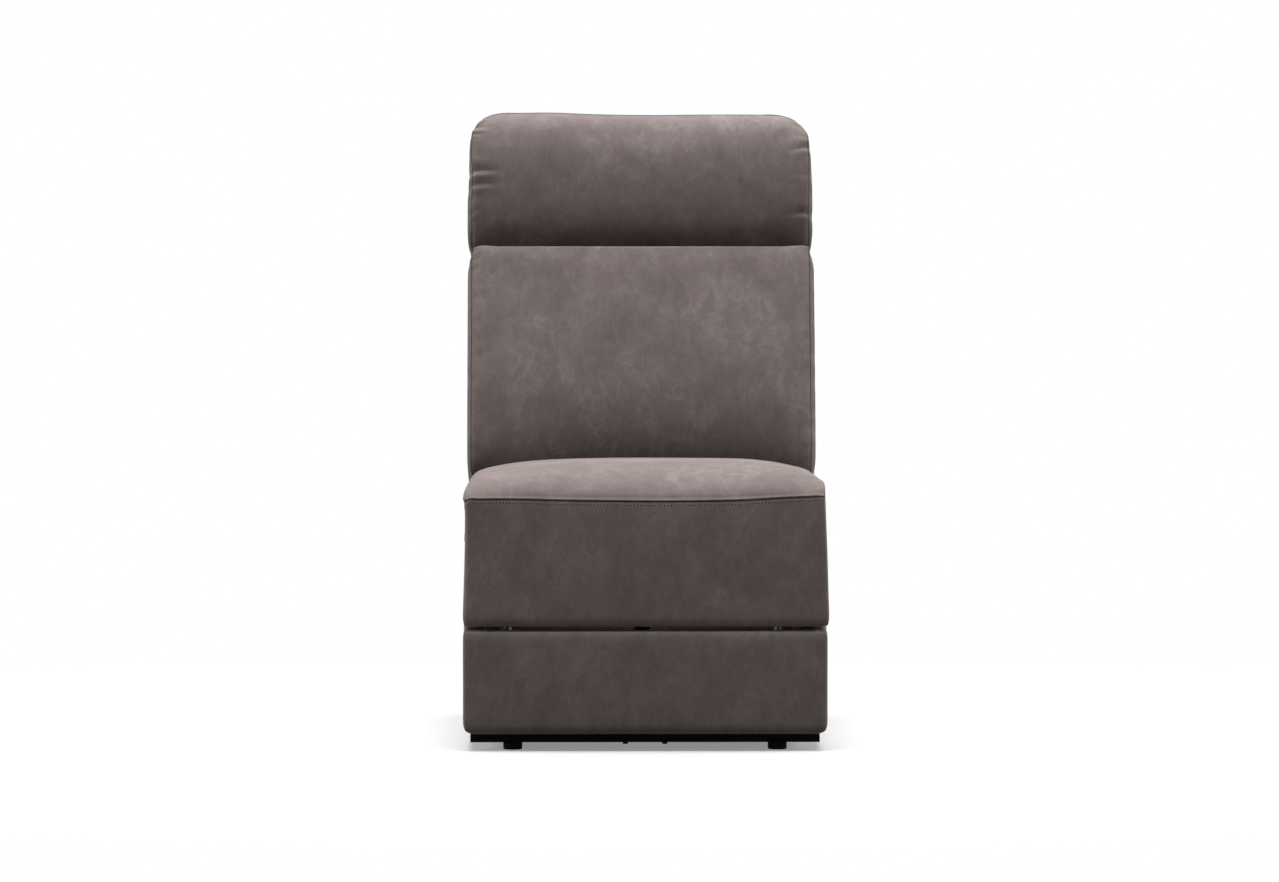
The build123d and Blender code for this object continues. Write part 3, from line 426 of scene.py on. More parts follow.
def make_nubuck(name, tone):
    """Brushed suede-like cloth: blotches a little taller than wide, short upright fibres, pale wisps."""
    material, tree, surface, place = shader(name, 0.88)
    surface.inputs["Sheen Weight"].default_value = 0.04
    surface.inputs["Sheen Roughness"].default_value = 0.45
    surface.inputs["Sheen Tint"].default_value = (0.85, 0.8, 0.78, 1)
    surface.inputs["Specular IOR Level"].default_value = 0.22
    # tone lightens or darkens the whole cloth; the cushions' copies use it to paint light and shade.
    dark, middle, light = (
        tuple(tone * c for c in linear(*rgb)) for rgb in ((110, 100, 98), (116, 106, 104), (122, 112, 110))
    )
    clouds = noise(tree, stretched(tree, place, (1, 1, 0.8)), 11.0, 4.0, 0.6, 0.4)
    base = ramp(tree, clouds, (0.32, dark), (0.50, middle), (0.68, light))
    blotches = noise(tree, stretched(tree, place, (1, 1, 0.65)), 48.0, 5.0, 0.68, 0.6)
    base = mixed(tree, "SOFT_LIGHT", 0.45, base, ramp(tree, blotches, (0.32, 0.32), (0.68, 0.68)))
    fibres = noise(tree, stretched(tree, place, (1, 1, 0.35), (0.06, 0.04, 0)), 330.0, 4.0, 0.65)
    base = mixed(tree, "SOFT_LIGHT", 0.18, base, ramp(tree, fibres, (0.32, 0.32), (0.68, 0.68)))
    # Pale wisps where a hand has brushed the nap: thin bands of a swirled noise, faded by a wide one.
    swirl = noise(tree, stretched(tree, place, (1, 1, 0.8), (0.3, 0.6, 0.2)), 20.0, 3.0, 0.55, 1.0)
    wisps = ramp(tree, swirl, (0.44, 0.0), (0.49, (0.056, 0.049, 0.047)), (0.54, 0.0))
    base = mixed(tree, "SCREEN", ramp(tree, clouds, (0.42, 0.0), (0.60, 0.7)), base, wisps)
    grain = noise(tree, place, 1400.0, 2.0, 0.6)
    base = mixed(tree, "SOFT_LIGHT", 0.18, base, ramp(tree, grain, (0.3, 0.35), (0.7, 0.65)))
    tree.links.new(base, surface.inputs["Base Color"])
    vary_roughness(tree, surface, blotches, 0.82, 0.93)
    rough = bump(tree, surface, blotches, 0.10, 0.0006)
    bump(tree, surface, grain, 0.25, 0.0003, rough)
    return material


def make_thread(name, dark, light):
    """Twisted sewing thread."""
    material, tree, surface, place = shader(name, 0.75)
    twist = noise(tree, place, 1500.0, 2.0)
    tree.links.new(ramp(tree, twist, (0.35, dark), (0.65, light)), surface.inputs["Base Color"])
    bump(tree, surface, twist, 0.3, 0.0002)
    return material


def make_timber(name, dark, light, roughness, grain, gloss=0.3):
    """Sawn wood: long grain lines, swirled a little, with a broad tone over them and the grain lines in the
    bump.
    """
    material, tree, surface, place = shader(name, roughness)
    surface.inputs["Specular IOR Level"].default_value = gloss
    lines = noise(tree, stretched(tree, place, grain), 4.0, 6.0, 0.6, 0.8)
    tone = noise(tree, place, 9.0, 2.0)
    base = ramp(tree, lines, (0.35, dark), (0.62, light))
    base = mixed(tree, "SOFT_LIGHT", 0.4, base, ramp(tree, tone, (0.3, 0.35), (0.7, 0.65)))
    tree.links.new(base, surface.inputs["Base Color"])
    vary_roughness(tree, surface, lines, roughness * 0.9, roughness * 1.1)
    bump(tree, surface, lines, 0.25, 0.0006)
    return material


def make_metal(name, dark, light, roughness, metallic, speckle=300.0, streak=(1, 1, 1)):
    """Plated, turned or powder-coated steel."""
    material, tree, surface, place = shader(name, roughness, metallic)
    fine = noise(tree, stretched(tree, place, streak), speckle, 3.0, 0.6)
    tone = noise(tree, place, 18.0, 3.0)
    base = ramp(tree, tone, (0.3, dark), (0.7, light))
    tree.links.new(base, surface.inputs["Base Color"])
    vary_roughness(tree, surface, fine, roughness * 0.8, roughness * 1.25)
    bump(tree, surface, fine, 0.12, 0.0003)
    return material


def make_plastic(name, dark, light, roughness, texture=900.0, gloss=0.35):
    """Moulded plastic with a spark-eroded grain."""
    material, tree, surface, place = shader(name, roughness)
    surface.inputs["Specular IOR Level"].default_value = gloss
    grain = noise(tree, place, texture, 2.0)
    tone = noise(tree, place, 14.0, 2.0)
    tree.links.new(ramp(tree, tone, (0.3, dark), (0.7, light)), surface.inputs["Base Color"])
    vary_roughness(tree, surface, grain, roughness * 0.85, roughness * 1.1)
    bump(tree, surface, grain, 0.2, 0.0002)
    return material


def make_webbing():
    """Woven elastic straps: ribs across, a lighter line along."""
    material, tree, surface, place = shader("elastic_webbing", 0.85)
    rib = tree.nodes.new("ShaderNodeTexWave")
    rib.bands_direction = "Y"
    rib.inputs["Scale"].default_value = 160.0
    rib.inputs["Distortion"].default_value = 0.6
    tree.links.new(place, rib.inputs["Vector"])
    warp = tree.nodes.new("ShaderNodeTexWave")
    warp.inputs["Scale"].default_value = 190.0
    tree.links.new(place, warp.inputs["Vector"])
    weave = mixed(tree, "MULTIPLY", 1.0, rib.outputs["Color"], warp.outputs["Color"])
    colour = ramp(tree, weave, (0.1, (0.012, 0.012, 0.013)), (0.8, (0.05, 0.05, 0.052)))
    tree.links.new(colour, surface.inputs["Base Color"])
    bump(tree, surface, weave, 0.4, 0.0005)
    return material


nubuck = make_nubuck("brushed_nubuck", 1.0)
# Painted light and shade: each cushion gets its own copy of the cloth, lightened on the seat and footrest and
# darkened on the headrest and back.
lit_and_shaded_nubucks = {
    "headrest": make_nubuck("brushed_nubuck_shaded_headrest", 0.92),
    "back": make_nubuck("brushed_nubuck_shaded_back", 0.92),
    "seat": make_nubuck("brushed_nubuck_lit_seat", 1.10),
    "footrest": make_nubuck("brushed_nubuck_lit_footrest", 1.08),
}
# Dark seam thread: partly the thread's own colour, partly painted shade of the seam's groove.
seam_thread_and_groove_shade = make_thread("seam_thread_and_groove_shade", linear(38, 32, 31), linear(58, 51, 49))
top_stitch_thread = make_thread("top_stitch_thread", linear(26, 22, 21), linear(46, 40, 38))
front_to_back = (100, 6, 6)  # a noise that changes fast in x and slowly in y and z, for the run of the grain
finishes = {
    "black_rail": make_timber(
        "black_stained_timber", (0.0015, 0.0015, 0.0015), (0.005, 0.0045, 0.0045), 0.75, front_to_back, 0.08
    ),
    "foot_plastic": make_plastic(
        "foot_plastic", (0.0015, 0.0015, 0.0015), (0.004, 0.004, 0.004), 0.7, gloss=0.08
    ),
    "black_plastic": make_plastic("motor_plastic", (0.010, 0.010, 0.011), (0.020, 0.020, 0.021), 0.45),
    "button_plastic": make_plastic(
        "button_plastic", (0.030, 0.030, 0.032), (0.045, 0.045, 0.048), 0.3, texture=1600.0
    ),
    "black_steel": make_metal(
        "black_powder_coat", (0.010, 0.010, 0.010), (0.020, 0.020, 0.020), 0.42, 0.0, speckle=700.0
    ),
    "zinc_steel": make_metal(
        "zinc_plated_strip", (0.42, 0.42, 0.41), (0.58, 0.58, 0.56), 0.34, 1.0, speckle=60.0, streak=(1, 8, 1)
    ),
    "bright_steel": make_metal(
        "turned_steel", (0.50, 0.50, 0.50), (0.66, 0.66, 0.65), 0.25, 1.0, speckle=200.0, streak=(12, 1, 1)
    ),
    "frame_wood": make_timber("raw_frame_timber", (0.34, 0.22, 0.12), (0.55, 0.40, 0.25), 0.7, front_to_back),
    "webbing": make_webbing(),
}

# ======== upholstery
def side_bulge(x, half, rim, reach):
    """A cover's side face swells past its seam, from nothing at its rim, out to reach."""
    grow = 1 - np.exp(-np.maximum(rim, 0) / 0.010)
    return x + np.sign(x) * (reach - half) * grow * (np.abs(x) > half - 0.0004)


def edge_roll(x, half):
    """The face of a cushion rolls off over the last centimetre before its side seam."""
    return 0.0045 * np.exp(-np.maximum(half - np.abs(x), 0) / 0.005)


def draw_back(u, front, rear, face):
    """Moves a block's front face from a flat one at `front` to the curved line `face`; the rear stays."""
    return face + (u - front) * (rear - face) / (rear - front)


head_face_top = -0.0265  # where the headrest's face stands over its upper part


def head_face(v):
    """The headrest's face from the side: upright where the back leans, and turned under at the bottom."""
    return curve_through(
        v, (0.394, 0.096), (0.403, 0.071), (0.414, 0.052), (0.430, 0.034), (0.450, 0.019), (0.489, -0.001),
        (0.537, -0.0185), (0.562, -0.0245),
        (0.590, head_face_top), (0.620, head_face_top), (0.650, head_face_top),
    )


def shape_head(co):
    """Headrest: a pillow turned under at the bottom, rounded over the top, drawn in at its side seams."""
    x, u, v = co.T.copy()
    half, ((_, front, low), (_, rear, top)) = cushion_half, head_block
    reach = curve_through(
        v, (0.394, 0.3055), (0.41, 0.3075), (0.46, 0.3077), (0.50, 0.3070), (0.55, 0.3045), (0.59, 0.3038),
        (0.65, 0.3036),
    )
    x = side_bulge(x, half, rim_distance(u, v, head_block), half + (reach - half) * smooth((top - v) / 0.080))
    side = np.sign(x)
    face = smooth(1 - (u - front) / 0.12)
    u = draw_back(u, front, rear, head_face(v))
    crown = (1 - (x / crown_half) ** 4) * np.sin(np.clip((v - low) / (top - low), 0, 1) * pi) ** 0.8
    u = u + face * (edge_roll(x, half) - 0.007 * crown)
    lift = curve_through(
        x, (-0.30, 0.0), (-0.25, 0.001), (-0.17, 0.0032), (-0.08, 0.0), (0.02, -0.0015), (0.12, -0.0005),
        (0.2, -0.0005), (0.30, -0.003),
    )
    v = v + lift * smooth((v - low) / (top - low))
    across = np.abs(x)
    radius = np.where(x > 0, head_corner_right, head_corner_left)
    peak = top + lift
    across, v = round_corner(across, v, (half, peak), radius, (1, 1))
    # The front edge is rolled back square to the outline: fully along the top, less and less down the sides.
    da, db = np.maximum(across - half + radius, 0), v - peak + radius
    length = np.maximum(np.hypot(da, db), 1e-9)
    upward = np.clip(db / length, 0, 1)
    past = np.where(db > 0, length - radius, -1.0)
    u, level = round_corner(u, past, (head_face_top, 0), 0.0005 + 0.0495 * upward**1.5, (-1, 1))
    across, v = across + (level - past) * da / length, v + (level - past) * upward
    across, v = round_corner(across, v, (half_back, low), 0.010, (1, -1))
    return np.column_stack((side * across, u, v))


# Gathers at the headrest's side seams: side, height, depth, width, length and fall over a metre.
head_gathers = (
    (-1, 0.6024, 0.0058, 0.0042, 0.042, 0.00),
    (-1, 0.5895, 0.0020, 0.0026, 0.018, 0.10),
    (-1, 0.5228, 0.0046, 0.0046, 0.062, 0.00),
    (-1, 0.5003, 0.0034, 0.0046, 0.062, 0.00),
    (-1, 0.4745, 0.0012, 0.0028, 0.022, -0.50),
    (-1, 0.4529, 0.0014, 0.0028, 0.024, -0.50),
    (-1, 0.4164, 0.0012, 0.0028, 0.022, -0.40),
    (1, 0.5842, 0.0012, 0.0026, 0.016, 0.30),
    (1, 0.5657, 0.0044, 0.0042, 0.044, 0.26),
    (1, 0.5160, 0.0010, 0.0045, 0.040, 0.05),
    (1, 0.4546, 0.0034, 0.0040, 0.046, 0.10),
    (1, 0.4182, 0.0012, 0.0028, 0.022, 0.40),
    (1, 0.4040, 0.0014, 0.0028, 0.022, 0.50),
)


def press_gathers(co, gathers, face):
    """Presses gathers into the front of a cushion whose face stands at `face`."""
    x, u, v = co.T
    inward = np.column_stack((0 * x, smooth(1 - (u - face - 0.03) / 0.06), 0 * x))
    for side, height, depth, width, length, fall in gathers:
        inside = cushion_half - side * x
        across = v - height + fall * np.maximum(inside, 0)
        co = crease(co, inside, across, inward, depth, width, length)
    return co


def gather_head(co):
    """The headrest's gathers. The deep ones below its rounded corners also draw its outline in."""
    x, _, v = co.T
    gathered = press_gathers(co, head_gathers, head_face(v))
    for side, height, depth, *_ in head_gathers:
        if depth > 0.0020 and height < 0.6:
            inside = cushion_half - side * x
            gathered[:, 0] -= side * 0.75 * (depth - 0.0020) * bell(inside, 0, 0.022) * bell(v, height, 0.011)
    return gathered


def loop_path(half, front, rear, bottom, top):
    """Points round the edge of a block's side, which stands at `half`."""
    step = 0.006
    corners = [(front, bottom), (rear, bottom), (rear, top), (front, top), (front, bottom)]
    path = []
    for (a, b), (c, d) in zip(corners, corners[1:]):
        count = max(1, round(max(abs(c - a), abs(d - b)) / step))
        path += [(half, a + (c - a) * k / count, b + (d - b) * k / count) for k in range(count)]
    return np.array(path)


def front_seam_path(half, front, bottom, top):
    """Points up a block's left front edge, over its top a little behind the edge, and down the right."""
    step = 0.005
    rows = np.linspace(bottom, top, round((top - bottom) / step))
    # Over the top the seam runs this far behind the edge, and it starts to turn there this far below the top.
    behind, below = 0.024, 0.060
    turn = behind * smooth((rows - top + below) / below)
    up = np.column_stack((np.full(len(rows), -half), front + turn, rows))
    across = np.linspace(-half, half, round(2 * half / step))[1:-1]
    over = np.column_stack((across, np.full(len(across), front + behind), np.full(len(across), top)))
    return np.vstack((up, over, (up * (-1, 1, 1))[::-1]))


def groove(piece, half):
    """Presses a fine groove into a cover along the seams at +half and -half."""
    depth, width = 0.0012, 0.0028
    co, n = points_of(piece), normals_of(piece)
    n[:, 0] *= 0.2
    press = depth * bell(np.abs(co[:, 0]), half, width)
    move_points(piece, co - n * press[:, None])


def cut_arm_pockets(cover):
    """Two slots in the headrest's underside and rear, in which its fixed arms lie while it tilts."""
    play, front, rear, low, top = 0.0025, 0.049, 0.142, 0.390, 0.500
    step, step_height = 0.038, 0.454  # the slot's front wall stands further back below this height
    arms = np.concatenate([points_of(nodes[name])[:, 0] for name in ("headrest_arms", "headrest_hinges")])
    for side in (-1, 1):
        own = arms[arms * side > 0]
        cutter = add_block("arm_pocket", (own.min() - play, front, low), (own.max() + play, rear, top))
        cut_across(cutter, 2, [step_height])
        co = points_of(cutter)
        co[:, 1] += step * ((co[:, 1] < (front + rear) / 2) & (co[:, 2] < (low + top) / 2))
        move_points(cutter, co)
        cut_out(cover, cutter)


def fold_levels():
    """Heights at which the headrest's cover is cut finer, a few on either side of each deep gather."""
    pitch, shift = 0.0022, 0.0003
    deep = [height for _, height, depth, *_ in head_gathers if depth > 0.0017]
    return sorted({round(height + k * pitch + shift, 4) for height in deep for k in range(-4, 5)})


def make_head():
    cover = grid_block("headrest_cover", head_block, step=0.0085, edge=0.003)
    held = held_seams(points_of(cover), head_block)
    move_points(cover, shape_head(points_of(cover)))
    pad_out(cover, held, pressure=4.0, cap=0.0022)
    subdivide(cover)
    cut_across(cover, 2, fold_levels())
    (_, front, low), (_, _, top) = head_block
    seam = shape_head(front_seam_path(cushion_half, front, low, top))
    groove(cover, cushion_half)
    move_points(cover, gather_head(points_of(cover)))
    cut_arm_pockets(cover)
    move_points(cover, lean_back(points_of(cover)))
    finish_cover(cover, "headrest", ["headrest_cushion"])
    seam_cord("headrest_seam", lean_back(gather_head(seam)), cover, "headrest", closed=False)


def back_face(x, v):
    """The back's face from the side: full above, and turned well under at the bottom, most in the middle."""
    middle = curve_through(
        v, (-0.042, 0.114), (-0.030, 0.098), (-0.012, 0.079), (0.008, 0.062), (0.032, 0.046), (0.062, 0.0305),
        (0.100, 0.017), (0.150, 0.006), (0.210, -0.001), (0.270, -0.0045), (0.320, -0.0075), (0.350, -0.0100),
        (0.375, -0.0125), (0.390, -0.0130),
    )
    ends = curve_through(
        v, (-0.042, 0.075), (-0.030, 0.058), (-0.012, 0.043), (0.008, 0.032), (0.032, 0.023), (0.062, 0.016),
        (0.100, 0.010), (0.150, 0.006), (0.240, 0.000), (0.320, -0.004), (0.360, -0.006), (0.390, -0.007),
    )
    return middle + (ends - middle) * np.clip(np.abs(x) / half_back, 0, 1) ** 1.7


def shape_back(co):
    """Back cushion: lightly crowned to the sitter, tight at its top edge, turned well under at the bottom."""
    x, u, v = co.T.copy()
    half, ((_, front, low), (_, rear, top)) = cushion_half, back_block
    reach = np.where(x > 0, 0.3092, 0.3070)
    past_seam = (reach - half) * smooth((top - v) / 0.035) * smooth((v - low) / 0.050)
    x = side_bulge(x, half, rim_distance(u, v, back_block), half + past_seam)
    side = np.sign(x)
    face = smooth(1 - (u - front) / 0.16)
    height = np.clip((v - low) / (top - low), 0, 1)
    u = draw_back(u, front, rear, back_face(x, v) + 0.006)
    u = u + face * (edge_roll(x, half) - 0.008 * (1 - (x / crown_half) ** 4) * np.sin(height * pi) ** 0.7)
    u, v = round_corner(u, v, (-0.007, top), 0.004, (-1, 1))
    across, v = round_each_side(np.abs(x), v, x, (half_back, top), 0.009, 0.018, (1, 1))
    across, v = round_each_side(across, v, x, (half_back, low), 0.012, 0.034, (1, -1))
    return np.column_stack((side * across, u, v))


# Gathers at the back's side seams, with the same columns.
back_gathers = (
    (-1, 0.372, 0.0022, 0.0035, 0.030, -0.9),
    (-1, 0.358, 0.0018, 0.0035, 0.028, -0.7),
    (-1, 0.341, 0.0010, 0.0040, 0.025, -0.5),
    (1, 0.368, 0.0010, 0.0040, 0.022, -0.6),
    (-1, 0.020, 0.0012, 0.0040, 0.020, 0.5),
    (1, 0.024, 0.0012, 0.0040, 0.020, 0.5),
)


def gather_back(co):
    return press_gathers(co, back_gathers, back_face(co[:, 0], co[:, 2]))


def make_back():
    cover = grid_block("back_cover", back_block, step=0.0105, edge=0.003)
    held = held_seams(points_of(cover), back_block)
    move_points(cover, shape_back(points_of(cover)))
    pad_out(cover, held, pressure=4.0, cap=0.0020)
    subdivide(cover)
    (_, front, low), (_, rear, top) = back_block
    seam = shape_back(loop_path(cushion_half, front, rear, low, top))
    groove(cover, cushion_half)
    move_points(cover, lean_back(gather_back(points_of(cover))))
    finish_cover(cover, "back", ["back_cushion"])
    for name, path in (("back_seam_right", seam), ("back_seam_left", seam * (-1, 1, 1))):
        seam_cord(name, lean_back(gather_back(path)), cover, "back")


def seam_rise(x):
    """How far the front seam runs above or below its mean level, across the width."""
    return curve_through(
        x, (-0.305, -0.004), (-0.298, 0.0015), (-0.28, 0.002), (-0.10, -0.0005), (0.05, -0.0015), (0.15, 0.0),
        (0.27, 0.006), (0.296, 0.0065), (0.305, 0.004),
    )


def crown_fall(x):
    """How far the seat's crown falls towards its ends: rounder on the left, straighter on the right."""
    left = curve_through(
        np.abs(x), (0, 0), (0.05, 0.0002), (0.10, 0.0010), (0.16, 0.0032), (0.19, 0.0052), (0.228, 0.0095),
        (0.253, 0.0140), (0.278, 0.0200), (0.294, 0.0262), (0.305, 0.0320),
    )
    right = curve_through(
        np.abs(x), (0, 0), (0.05, 0.0002), (0.10, 0.0005), (0.16, 0.0013), (0.186, 0.0025), (0.212, 0.0052),
        (0.239, 0.0092), (0.27, 0.0155), (0.305, 0.0235),
    )
    return np.where(x > 0, right, left)


def shape_seat(co):
    """Seat cushion: crowned across, rolled over the front seam, shoulders rounded, a lip along the seam."""
    x, y, z = co.T.copy()
    side, across = np.sign(x), np.abs(x)
    seat_rear_y, rise = seat_block[1][1], crown_z - seam_z
    y, z = round_corner(y, z, (front_y, crown_z), (0.140, rise), (-1, 1))
    y, z = round_corner(y, z, (seat_rear_y, crown_z), 0.020, (1, 1))
    across, z = round_each_side(across, z, x, (half_front, crown_z), (0.020, 0.034), (0.019, 0.052), (1, 1))
    across, y = round_corner(across, y, (half_front, front_y), 0.014, (1, -1))
    depth = (y - front_y) / (seat_rear_y - front_y)
    height = np.maximum(z - seam_z, 0)
    y = y + 0.22 * height * smooth(1 - (depth - 0.35) / 0.3)
    fall = crown_fall(x)
    z = z - height * (fall / rise + 0.10 * smooth((depth - 0.70) / 0.30))
    across = across - np.where(x > 0, 0.0040, 0.0) * smooth((across - 0.22) / 0.08)
    front = smooth(1 - (y - front_y) / 0.03)
    y = y - front * (0.0011 * bell(z, seam_z + 0.0024, 0.0018) - 0.0007 * bell(z, seam_z + 0.0068, 0.0030))
    near = smooth(1 - (y - front_y) / 0.16)
    z = z + seam_rise(side * across) * near * smooth((z - 0.405) / 0.012)
    tuck = smooth((seam_z + 0.002 - z) / 0.006)
    across = across - tuck * np.where(x > 0, 0.0006, 0.0026)
    return np.column_stack((side * across, y, z))


def make_seat():
    cover = grid_block("seat_cover", seat_block, step=0.0105, edge=0.003)
    lifts = (-0.0012, 0.0002, 0.0012, 0.0024, 0.0036, 0.0052, 0.0070, 0.0095)
    cut_across(cover, 2, [seam_z + lift for lift in lifts])
    cut_across(cover, 1, (border_rear_y, border_rear_y + 0.003))
    co = points_of(cover)
    # Under the seam the cover stands back, to leave the border its place.
    under, clear_y = co[:, 2] < seam_z - 0.0008, border_rear_y + 0.001
    held = np.maximum(under.astype(float), 0.8 * (co[:, 2] < seam_z + 0.006))
    co[:, 1] = np.where(under & (co[:, 1] < clear_y), clear_y, co[:, 1])
    move_points(cover, shape_seat(co))
    pad_out(cover, held, pressure=3.0, cap=0.0018)
    subdivide(cover)
    finish_cover(cover, "seat", ["seat_cushion"])


def panel_swell(x, y, z, low, high):
    """How far the face of a front panel swells out between its edges."""
    swell = np.sin(np.clip((z - low) / (high - low), 0, 1) * pi) ** 0.5 * (1 - (x / half_front) ** 6)
    return 0.0025 * swell * smooth(1 - (y - front_y) / 0.02)


def shape_border(co):
    """The seat's front border: a flat padded panel with soft corners."""
    x, y, z = co.T.copy()
    side, across = np.sign(x), np.abs(x)
    low, high = border_block[0][2], border_block[1][2]
    y = y - panel_swell(x, y, z, low, high)
    y, z = round_corner(y, z, (front_y, low), 0.010, (-1, -1))
    across, z = round_corner(across, z, (half_front, low), 0.009, (1, -1))
    across, y = round_corner(across, y, (half_front, front_y), 0.010, (1, -1))
    z = z + seam_rise(side * across) * smooth((z - 0.36) / 0.05)
    right = curve_through(
        z, (0.20, 0.3075), (0.23, 0.3075), (0.26, 0.3065), (0.33, 0.3045), (0.39, 0.3022), (0.42, 0.3012)
    )
    left = curve_through(
        z, (0.20, 0.3050), (0.23, 0.3050), (0.26, 0.3040), (0.33, 0.3020), (0.39, 0.3012), (0.42, 0.3025)
    )
    across = across * np.where(x > 0, right, left) / half_front
    return np.column_stack((side * across, y, z))


# Wrinkles at the left end of the border's seam: angle below the seam in degrees, depth and length.
border_wrinkles = (
    (8, 0.0010, 0.022), (24, 0.0012, 0.020), (41, 0.0012, 0.020), (57, 0.0010, 0.018), (72, 0.0008, 0.020)
)


def make_border():
    panel = grid_block("front_border_cover", border_block, step=0.0095, edge=0.0016)
    drops = (0.0028, 0.0040, 0.0052, 0.0064, 0.0076, 0.0090, 0.0115, 0.0140, 0.0165, 0.0190, 0.0215, 0.0240)
    left_end, pitch = -0.301, 0.0022
    cut_across(panel, 2, [seam_z - drop for drop in drops])
    cut_across(panel, 0, [left_end + pitch * k for k in range(10)])
    move_points(panel, shape_border(points_of(panel)))
    subdivide(panel)
    co = points_of(panel)
    x, y, z = co.T
    face = smooth(1 - (y - front_y) / 0.015)
    # A fan of small wrinkles where the seam turns the corner, each running out of it steeper than the last.
    corner_x, corner_z = -0.306, 0.4115
    reach, turn = np.hypot(x - corner_x, z - corner_z), np.degrees(np.arctan2(corner_z - z, x - corner_x))
    for angle, depth, length in border_wrinkles:
        fold = bell(turn, angle, 5.5) * smooth(reach / 0.004) * smooth(1 - (reach - 0.004) / length)
        co[:, 1] += depth * fold * face
    # The strip above the top-stitch is drawn in.
    line = seam_z - stitch_drop + seam_rise(x)
    co[:, 1] += face * 0.0008 * smooth((z - line + 0.004) / 0.008)
    move_points(panel, co)
    finish_cover(panel, "seat", ["front_border_pad"])
    return panel


def make_stitches(panel):
    """The border's top-stitch: short thread dashes in one row below the seam."""
    deselect()
    bpy.ops.mesh.primitive_uv_sphere_add(segments=8, ring_count=4, radius=1)
    stitch = bpy.context.object
    shape = points_of(stitch) * (0.0015, 0.0012, 0.0013)
    faces = [list(p.vertices) for p in stitch.data.polygons]
    tree = BVHTree.FromObject(panel, bpy.context.evaluated_depsgraph_get())
    pitch, first, last = 0.0056, -0.293, 0.297
    reach = 0.004  # how far to either side the seam's slope is taken
    all_points, all_faces = [], []
    for k in range(int((last - first) / pitch) + 1):
        x = first + k * pitch
        z = seam_z - stitch_drop + float(seam_rise(x))
        slope = atan((float(seam_rise(x + reach)) - float(seam_rise(x - reach))) / (2 * reach))
        hit, _, _, _ = tree.ray_cast(Vector((x, front_y - 0.05, z)), Vector((0, 1, 0)))
        turned = shape.copy()
        turned[:, 2] += shape[:, 0] * slope
        all_faces += [[v + len(all_points) for v in f] for f in faces]
        all_points += [tuple(p + np.array(hit)) for p in turned]
    bpy.data.objects.remove(stitch)
    mesh = bpy.data.meshes.new("border_stitches")
    mesh.from_pydata(all_points, [], all_faces)
    row = in_scene("border_stitches", mesh)
    make_active(row)
    bpy.ops.object.shade_smooth()
    mesh.materials.append(top_stitch_thread)
    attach(row, "seat")


def shape_pad(co):
    """Footrest pad: a flat padded panel, softly rounded all round."""
    x, y, z = co.T.copy()
    side, across = np.sign(x), np.abs(x)
    low, high = pad_block[0][2], pad_block[1][2]
    y = y - panel_swell(x, y, z, low, high)
    y, z = round_corner(y, z, (front_y, low), 0.011, (-1, -1))
    y, z = round_corner(y, z, (front_y, high), 0.009, (-1, 1))
    across, z = round_corner(across, z, (half_front, low), 0.016, (1, -1))
    across, z = round_corner(across, z, (half_front, high), 0.007, (1, 1))
    across, y = round_corner(across, y, (half_front, front_y), 0.010, (1, -1))
    return np.column_stack((side * across, y, z))


def make_pad():
    panel = grid_block("footrest_cover", pad_block, step=0.0095, edge=0.002)
    move_points(panel, shape_pad(points_of(panel)))
    subdivide(panel)
    finish_cover(panel, "footrest", ["footrest_pad"])


def stand_upright(co):
    """From the leaning place to upright (across, depth, height)."""
    x, y, z = co[:, 0], co[:, 1] - back_face_y, co[:, 2] - crown_z
    return np.column_stack((x, y * cos(lean) - z * sin(lean), y * sin(lean) + z * cos(lean)))


def draw_in_corners(panel):
    """Draws a panel behind the headrest in at its top corners, as far as the cushion is rounded there."""
    x, u, v = stand_upright(points_of(panel)).T
    across, side = np.abs(x), np.sign(x)
    radius = np.where(x > 0, head_corner_right, head_corner_left)
    middle = head_top - 0.0035 - radius
    da, db = across - (half_back - radius), v - middle
    length = np.maximum(np.hypot(da, db), 1e-9)
    limit = radius - 2 * boxing * np.clip(2 * da * db / length**2, 0, 1)
    share = np.where((da > 0) & (db > 0) & (length > limit), limit / length, 1)
    across = np.where(share < 1, half_back - radius + da * share, across)
    v = np.where(share < 1, middle + db * share, v)
    move_points(panel, lean_back(np.column_stack((side * across, u, v))))


housing = points_of(nodes["switch_housing"])
switch_place = (housing.max(0) + housing.min(0))[1:] / 2
switch_length, switch_width = (housing.max(0) - housing.min(0))[1:]


def cut_switch_opening(panel):
    """The opening in the left panel, a little larger than the switch and deeper than its buttons' travel."""
    play, depth, inward = 0.0004, 0.036, 0.0145
    centre = (housing[:, 0].max() - inward, *switch_place)
    cutter = add_rod(centre, switch_width / 2 + play, depth, 48, (0, pi / 2, 0))
    co = points_of(cutter)
    co[:, 1] += (switch_length - switch_width) / 2 * np.sign(np.round(co[:, 1] - centre[1], 5))
    move_points(cutter, co)
    cut_out(panel, cutter)


